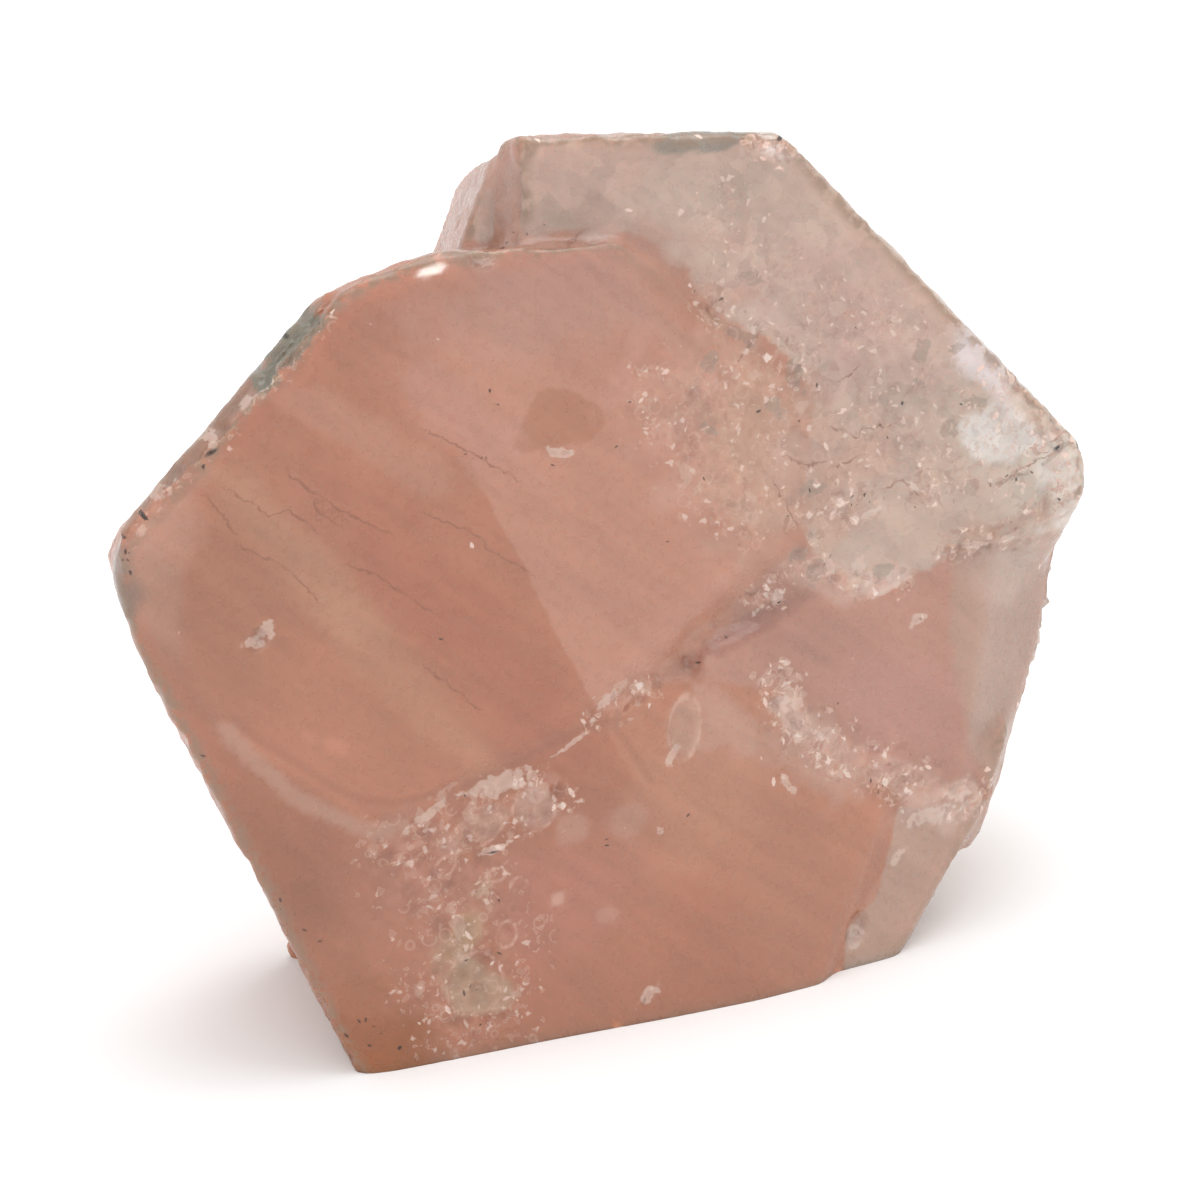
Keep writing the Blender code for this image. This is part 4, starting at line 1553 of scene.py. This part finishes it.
@dataclass(frozen=True)
class Beryl:
    """Translucent peach-pink beryl with a waxy, etched skin."""

    left_end: str = "a67059"
    # the right side's tones are lighter partly as painted light, for faces that turn more towards the light
    right_end: str = "b07f6b"
    lower_left: str = "a36d56"
    lower_right: str = "aa765f"
    rear_side: str = "b09384"
    # painted highlight for the etched ridges, and painted shade for the etched hollows
    ridge: str = "bc9888"
    hollow_shade: str = "8c6452"
    # painted shade along the crystal's outer edges
    rim: str = "84705f"
    crack: str = "7a4a36"
    bubble: str = "c6a090"
    pit: str = "100300"
    roughness: float = 0.3
    grain_roughness: float = 0.08
    etched_roughness: float = 0.14
    refraction: float = 1.58
    scatter: float = 0.6
    scatter_radius: Place = (1.0, 0.5, 0.35)
    scatter_depth: float = 0.004

    def material(self) -> bpy.types.Material:
        """Build the crystal's material.

        Returns:
            The material, ready for the piece.
        """
        material = bpy.data.materials.new("beryl")
        material.use_nodes = True
        shader = material.node_tree.nodes["Principled BSDF"]
        paint = Paint(self, Graph(material.node_tree))
        for name, value in (
            ("Base Color", paint.coat()),
            ("Roughness", paint.gloss()),
            ("Normal", paint.skin()),
            ("IOR", self.refraction),
            ("Subsurface Weight", self.scatter),
            ("Subsurface Radius", self.scatter_radius),
            ("Subsurface Scale", self.scatter_depth),
        ):
            paint.graph.feed(shader.inputs[name], value)
        return material


class Paint:
    """Lays beryl's tones over one another in the graph of its material."""

    def __init__(self, beryl: Beryl, graph: Graph) -> None:
        """Build the groups and the values that every layer reads.

        Args:
            beryl: the tones and the gloss.
            graph: the material's graph.
        """
        self.beryl = beryl
        self.graph = graph
        self.speckles = {shape: speckle_group(shape) for shape in Shape}
        self.ragged_edge = ragged_group()
        self.chips = chip_group()
        self.position = self.axes()
        self.coarse = graph.math("SUBTRACT", graph.noise(self.position, 0.5, 4.0), 0.5)
        self.fine = graph.math("SUBTRACT", graph.noise(self.position, 1.6, 3.0), 0.5)
        self.scattered = self.pushed()
        self.etched = graph.attribute("etched")
        self.colour: Value = tint(beryl.left_end)

    def axes(self) -> Value:
        """Place the nodes that read the surface point.

        Returns:
            The point in the crystal's frame, in millimetres.
        """
        place, turn, scale = crystal_matrix().inverted().decompose()
        inputs = {
            "Vector": self.graph.add("TexCoord", {}).outputs["Object"],
            "Location": tuple(place),
            "Rotation": tuple(turn.to_euler()),
            "Scale": tuple(scale),
        }
        return self.graph.add("Mapping", inputs).outputs[0]

    def pushed(self) -> Value:
        """Push the surface point about, so that cells on it are irregular.

        Returns:
            The pushed point.
        """
        inputs = {"Vector": self.position, "Scale": 1.3, "Detail": 1.0}
        push = self.graph.add("TexNoise", inputs).outputs["Color"]
        shift = self.graph.add("VectorMath", {0: push, "Scale": PUSH_MM}, operation="SCALE").outputs[0]
        return self.graph.vector("ADD", self.position, shift).outputs[0]

    def ragged(self, zone: Zone, wander: Value) -> Value:
        """Return a zone's mask.

        Args:
            zone: the zone.
            wander: noise that makes its rim ragged.

        Returns:
            1 inside the zone, 0 outside it.
        """
        inputs = {
            "Depth": self.graph.attribute(zone.attribute),
            "Wander": wander,
            "Raggedness": zone.raggedness,
            "Softness": zone.softness,
        }
        return self.graph.group(self.ragged_edge, inputs)

    def lay(self, code: str, mask: Value, strength: float = 1.0) -> None:
        """Lay a tone over the colour where a mask is."""
        share = mask if strength == 1.0 else self.graph.times(mask, strength)
        self.colour = self.graph.blend(share, self.colour, tint(code))

    def lay_zones(self, zones: tuple[Zone, ...], wander: Value) -> None:
        """Lay the tones of zones over the colour one after another."""
        for zone in zones:
            self.lay(zone.colour, self.ragged(zone, wander), zone.strength)

    def coat(self) -> Value:
        """Lay every layer in its order.

        Returns:
            The finished colour.
        """
        self.growth()
        self.patches()
        self.clouds()
        self.etching()
        self.lay_zones(FOLD_ZONES, self.fine)
        self.cracks()
        self.lay_zones(MARK_ZONES, self.fine)
        self.rims()
        self.specks()
        self.crumbs()
        pits = self.graph.ramp(self.graph.attribute("black_pit"), -0.03, 0.08)
        self.lay(self.beryl.pit, pits, PIT_TONE)
        return self.colour

    def growth(self) -> None:
        """Give the end faces a tone on each side of the ridge, the right one lighter partly as painted
        light, every growth zone its own, and the shallow chip its painted shade.
        """
        graph, beryl = self.graph, self.beryl
        split = graph.add("SeparateXYZ", {0: self.position})
        u, v = split.outputs[0], split.outputs[1]
        bearing = math.radians(RIDGE_BEARING_DEG)
        across = graph.times(graph.plus(u, -RIDGE_MIDDLE[0]), math.cos(bearing))
        rise = graph.times(graph.plus(v, -RIDGE_MIDDLE[1]), math.sin(bearing))
        # The tone edge leaves the ridge below the fold, and grows soft towards the top and the foot.
        beyond = graph.math("SUBTRACT", graph.plus(across, rise), graph.ramp(v, 14.0, 6.0, 0.0, 2.5))
        beyond = graph.plus(beyond, graph.times(self.coarse, 0.9))
        softness = graph.plus(graph.ramp(v, 33.0, 39.0, 0.25, 9.0), graph.ramp(v, 16.0, 8.0, 0.0, 5.0))
        right = graph.ramp(graph.math("DIVIDE", beyond, softness), -0.5, 0.5)
        # the right side's lighter tone is partly painted light: that face turns more towards the light
        upper = graph.blend(right, tint(beryl.left_end), tint(beryl.right_end))
        lower = graph.blend(right, tint(beryl.lower_left), tint(beryl.lower_right))
        self.colour = graph.blend(self.ragged(LOWER_ZONE, self.coarse), upper, lower)
        self.lay_zones(GROWTH_AND_SHADE_ZONES, self.coarse)
        side = graph.blend(graph.ramp(u, -4.0, 12.0), tint(beryl.left_end), tint(beryl.rear_side))
        self.colour = graph.blend(graph.attribute("front"), side, self.colour)

    def patches(self) -> None:
        """Lay the soft patches, which are premultiplied, over the colour."""
        soft = self.graph.add("Attribute", {}, attribute_name="patches")
        covered = self.graph.blend(soft.outputs["Alpha"], self.colour, (0.0, 0.0, 0.0, 1.0))
        self.colour = self.graph.blend(1.0, covered, soft.outputs["Color"], "ADD")

    def clouds(self) -> None:
        """Cloud the colour with veils, streaks that run down to the right, and sugary grains."""
        graph = self.graph
        inputs = {"Vector": self.position, "Angle": math.radians(STREAK_TURN_DEG)}
        turned = graph.add("VectorRotate", inputs, rotation_type="Z_AXIS").outputs[0]
        stretched = graph.vector("MULTIPLY", turned, STREAK_SCALES).outputs[0]
        inputs = {"Vector": stretched, "Scale": 0.8, "Detail": 4.0, "Distortion": 0.5}
        wisps = graph.add("TexNoise", inputs).outputs[0]
        light = graph.plus(graph.ramp(wisps, 0.3, 0.7, 0.95, 1.05), graph.attribute("cloud"))
        light = graph.plus(light, graph.ramp(self.fine, -0.25, 0.25, -0.025, 0.025))
        cells = graph.add("TexVoronoi", {"Vector": self.scattered, "Scale": 0.7}).outputs["Color"]
        tone = graph.math("SUBTRACT", graph.add("SeparateColor", {0: cells}).outputs[0], 0.5)
        tone = graph.times(graph.times(tone, SUGAR_TONE), graph.attribute("sugary"))
        light = graph.plus(light, tone)
        shade = graph.add("CombineXYZ", {0: light, 1: light, 2: light}).outputs[0]
        self.colour = graph.blend(1.0, self.colour, shade, "MULTIPLY")

    def etching(self) -> None:
        """Paint highlights on the ridges of the etched places and shade in their hollows, by the height of
        the relief.
        """
        graph = self.graph
        height = graph.plus(graph.attribute("relief"), graph.times(self.fine, 0.35))
        # painted highlight on the etched ridges and painted shade in the etched hollows, from the relief's
        # height
        pale = graph.times(graph.ramp(height, 0.02, 0.22), graph.times(self.etched, RIDGE_HIGHLIGHT_TONE))
        deep = graph.times(graph.ramp(height, -0.05, -0.35), graph.times(self.etched, HOLLOW_SHADE_TONE))
        self.lay(self.beryl.ridge, pale)
        self.lay(self.beryl.hollow_shade, deep)

    def cracks(self) -> None:
        """Draw the healed cracks as thin wandering lines that break off here and there."""
        graph = self.graph
        wobble = graph.times(self.fine, 0.8)
        offset = graph.math("ABSOLUTE", graph.plus(graph.attribute("crack_side"), wobble))
        near = graph.ramp(graph.attribute("crack_near"), 0.8, 0.4)
        line = graph.times(graph.ramp(offset, 0.1, 0.02), near)
        self.lay(self.beryl.crack, graph.times(line, graph.ramp(self.fine, -0.2, 0.1, 0.15, 0.6)))

    def rims(self) -> None:
        """Draw the pale rims of the large bubbles, and painted shade along the outer edges of the whole
        crystal.
        """
        graph = self.graph
        bubble = graph.ramp(graph.attribute("bubble_rim"), 0.16, 0.02)
        self.lay(self.beryl.bubble, graph.times(bubble, graph.ramp(self.fine, -0.12, 0.1, 0.15, 0.7)))
        # painted shade on the convex outer edges, away from the middle of the end face
        worn = graph.times(graph.ramp(graph.attribute("edge"), 0.01, 0.06), graph.attribute("outer_rim_shade"))
        self.lay(self.beryl.rim, graph.times(worn, graph.ramp(self.fine, -0.12, 0.06, 0.3, 1.2)))

    def specks(self) -> None:
        """Scatter the specks in loose clusters, by the kind of surface."""
        graph = self.graph
        cluster = graph.ramp(self.coarse, -0.12, 0.14, 0.35, 1.5)
        for place, speck in enumerate(SPECKS):
            shift = tuple(place * step for step in SPECK_STEP)
            share = graph.ramp(self.etched, 0.0, 1.0, speck.plain, speck.etched)
            for name, goal in (("glitter", speck.glittering), ("pitted", speck.pitted)):
                if goal > 0.0:
                    place_share = graph.ramp(graph.attribute(name), 0.0, 0.8, 0.0, goal)
                    share = graph.math("MAXIMUM", share, place_share)
            inputs = {
                "Position": graph.vector("ADD", self.position, shift).outputs[0],
                "Spacing": speck.spacing,
                "Size": speck.size,
                "Stretch": speck.stretch,
                "Share": graph.times(share, cluster),
                "Softness": speck.softness,
            }
            self.lay(speck.colour, graph.group(self.speckles[speck.shape], inputs), speck.strength)

    def crumbs(self) -> None:
        """Lay angular chips in clusters over the etched places, with painted highlights on their rims and as
        glints, and painted shade as dark hollows.
        """
        graph = self.graph
        glitter = graph.attribute("glitter")
        both = graph.math("MAXIMUM", self.etched, glitter)
        cluster = graph.ramp(self.coarse, -0.1, 0.12, 0.15, 1.5)
        for chips in CHIPS:
            share = graph.times(graph.times(both if chips.in_craters else glitter, cluster), chips.amount)
            inputs = {"Position": self.scattered, "Size": chips.size, "Share": share}
            parts = graph.add("Group", inputs, node_tree=self.chips)
            for name, shade, strength in CHIP_PARTS:
                self.lay(shade, parts.outputs[name], strength * chips.contrast)

    def gloss(self) -> Value:
        """Make the faces waxy, and duller where etched.

        Returns:
            The roughness.
        """
        beryl, graph = self.beryl, self.graph
        grain = graph.ramp(self.fine, -0.25, 0.25, -beryl.grain_roughness, beryl.grain_roughness)
        dull = graph.times(self.etched, beryl.etched_roughness)
        return graph.plus(graph.plus(grain, dull), beryl.roughness)

    def skin(self) -> Value:
        """Give the surface its finest relief: ripples, grain and, where etched, small facets.

        Returns:
            The normal.
        """
        graph = self.graph
        height = graph.times(graph.noise(self.position, 0.5, 2.0), RIPPLE_MM)
        for scale, detail, plain, etched in BUMPS:
            depth = graph.ramp(self.etched, 0.0, 1.0, plain, etched)
            height = graph.plus(height, graph.times(graph.noise(self.position, scale, detail), depth))
        return graph.add("Bump", {"Height": height, "Distance": MM, "Strength": 1.0}).outputs[0]


def main() -> None:
    """Build the specimen and its studio, and report the pieces."""
    logging.basicConfig(level=logging.INFO, format="%(name)s: %(message)s")
    Studio().build()
    crystal = CrystalSkin().build()
    crystal.data.materials.append(Beryl().material())
    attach(crystal, "root")
    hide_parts("morganite_crystal")
    LOG.info("%s: %d faces", crystal.name, len(crystal.data.polygons))


if __name__ == "__main__":
    main()
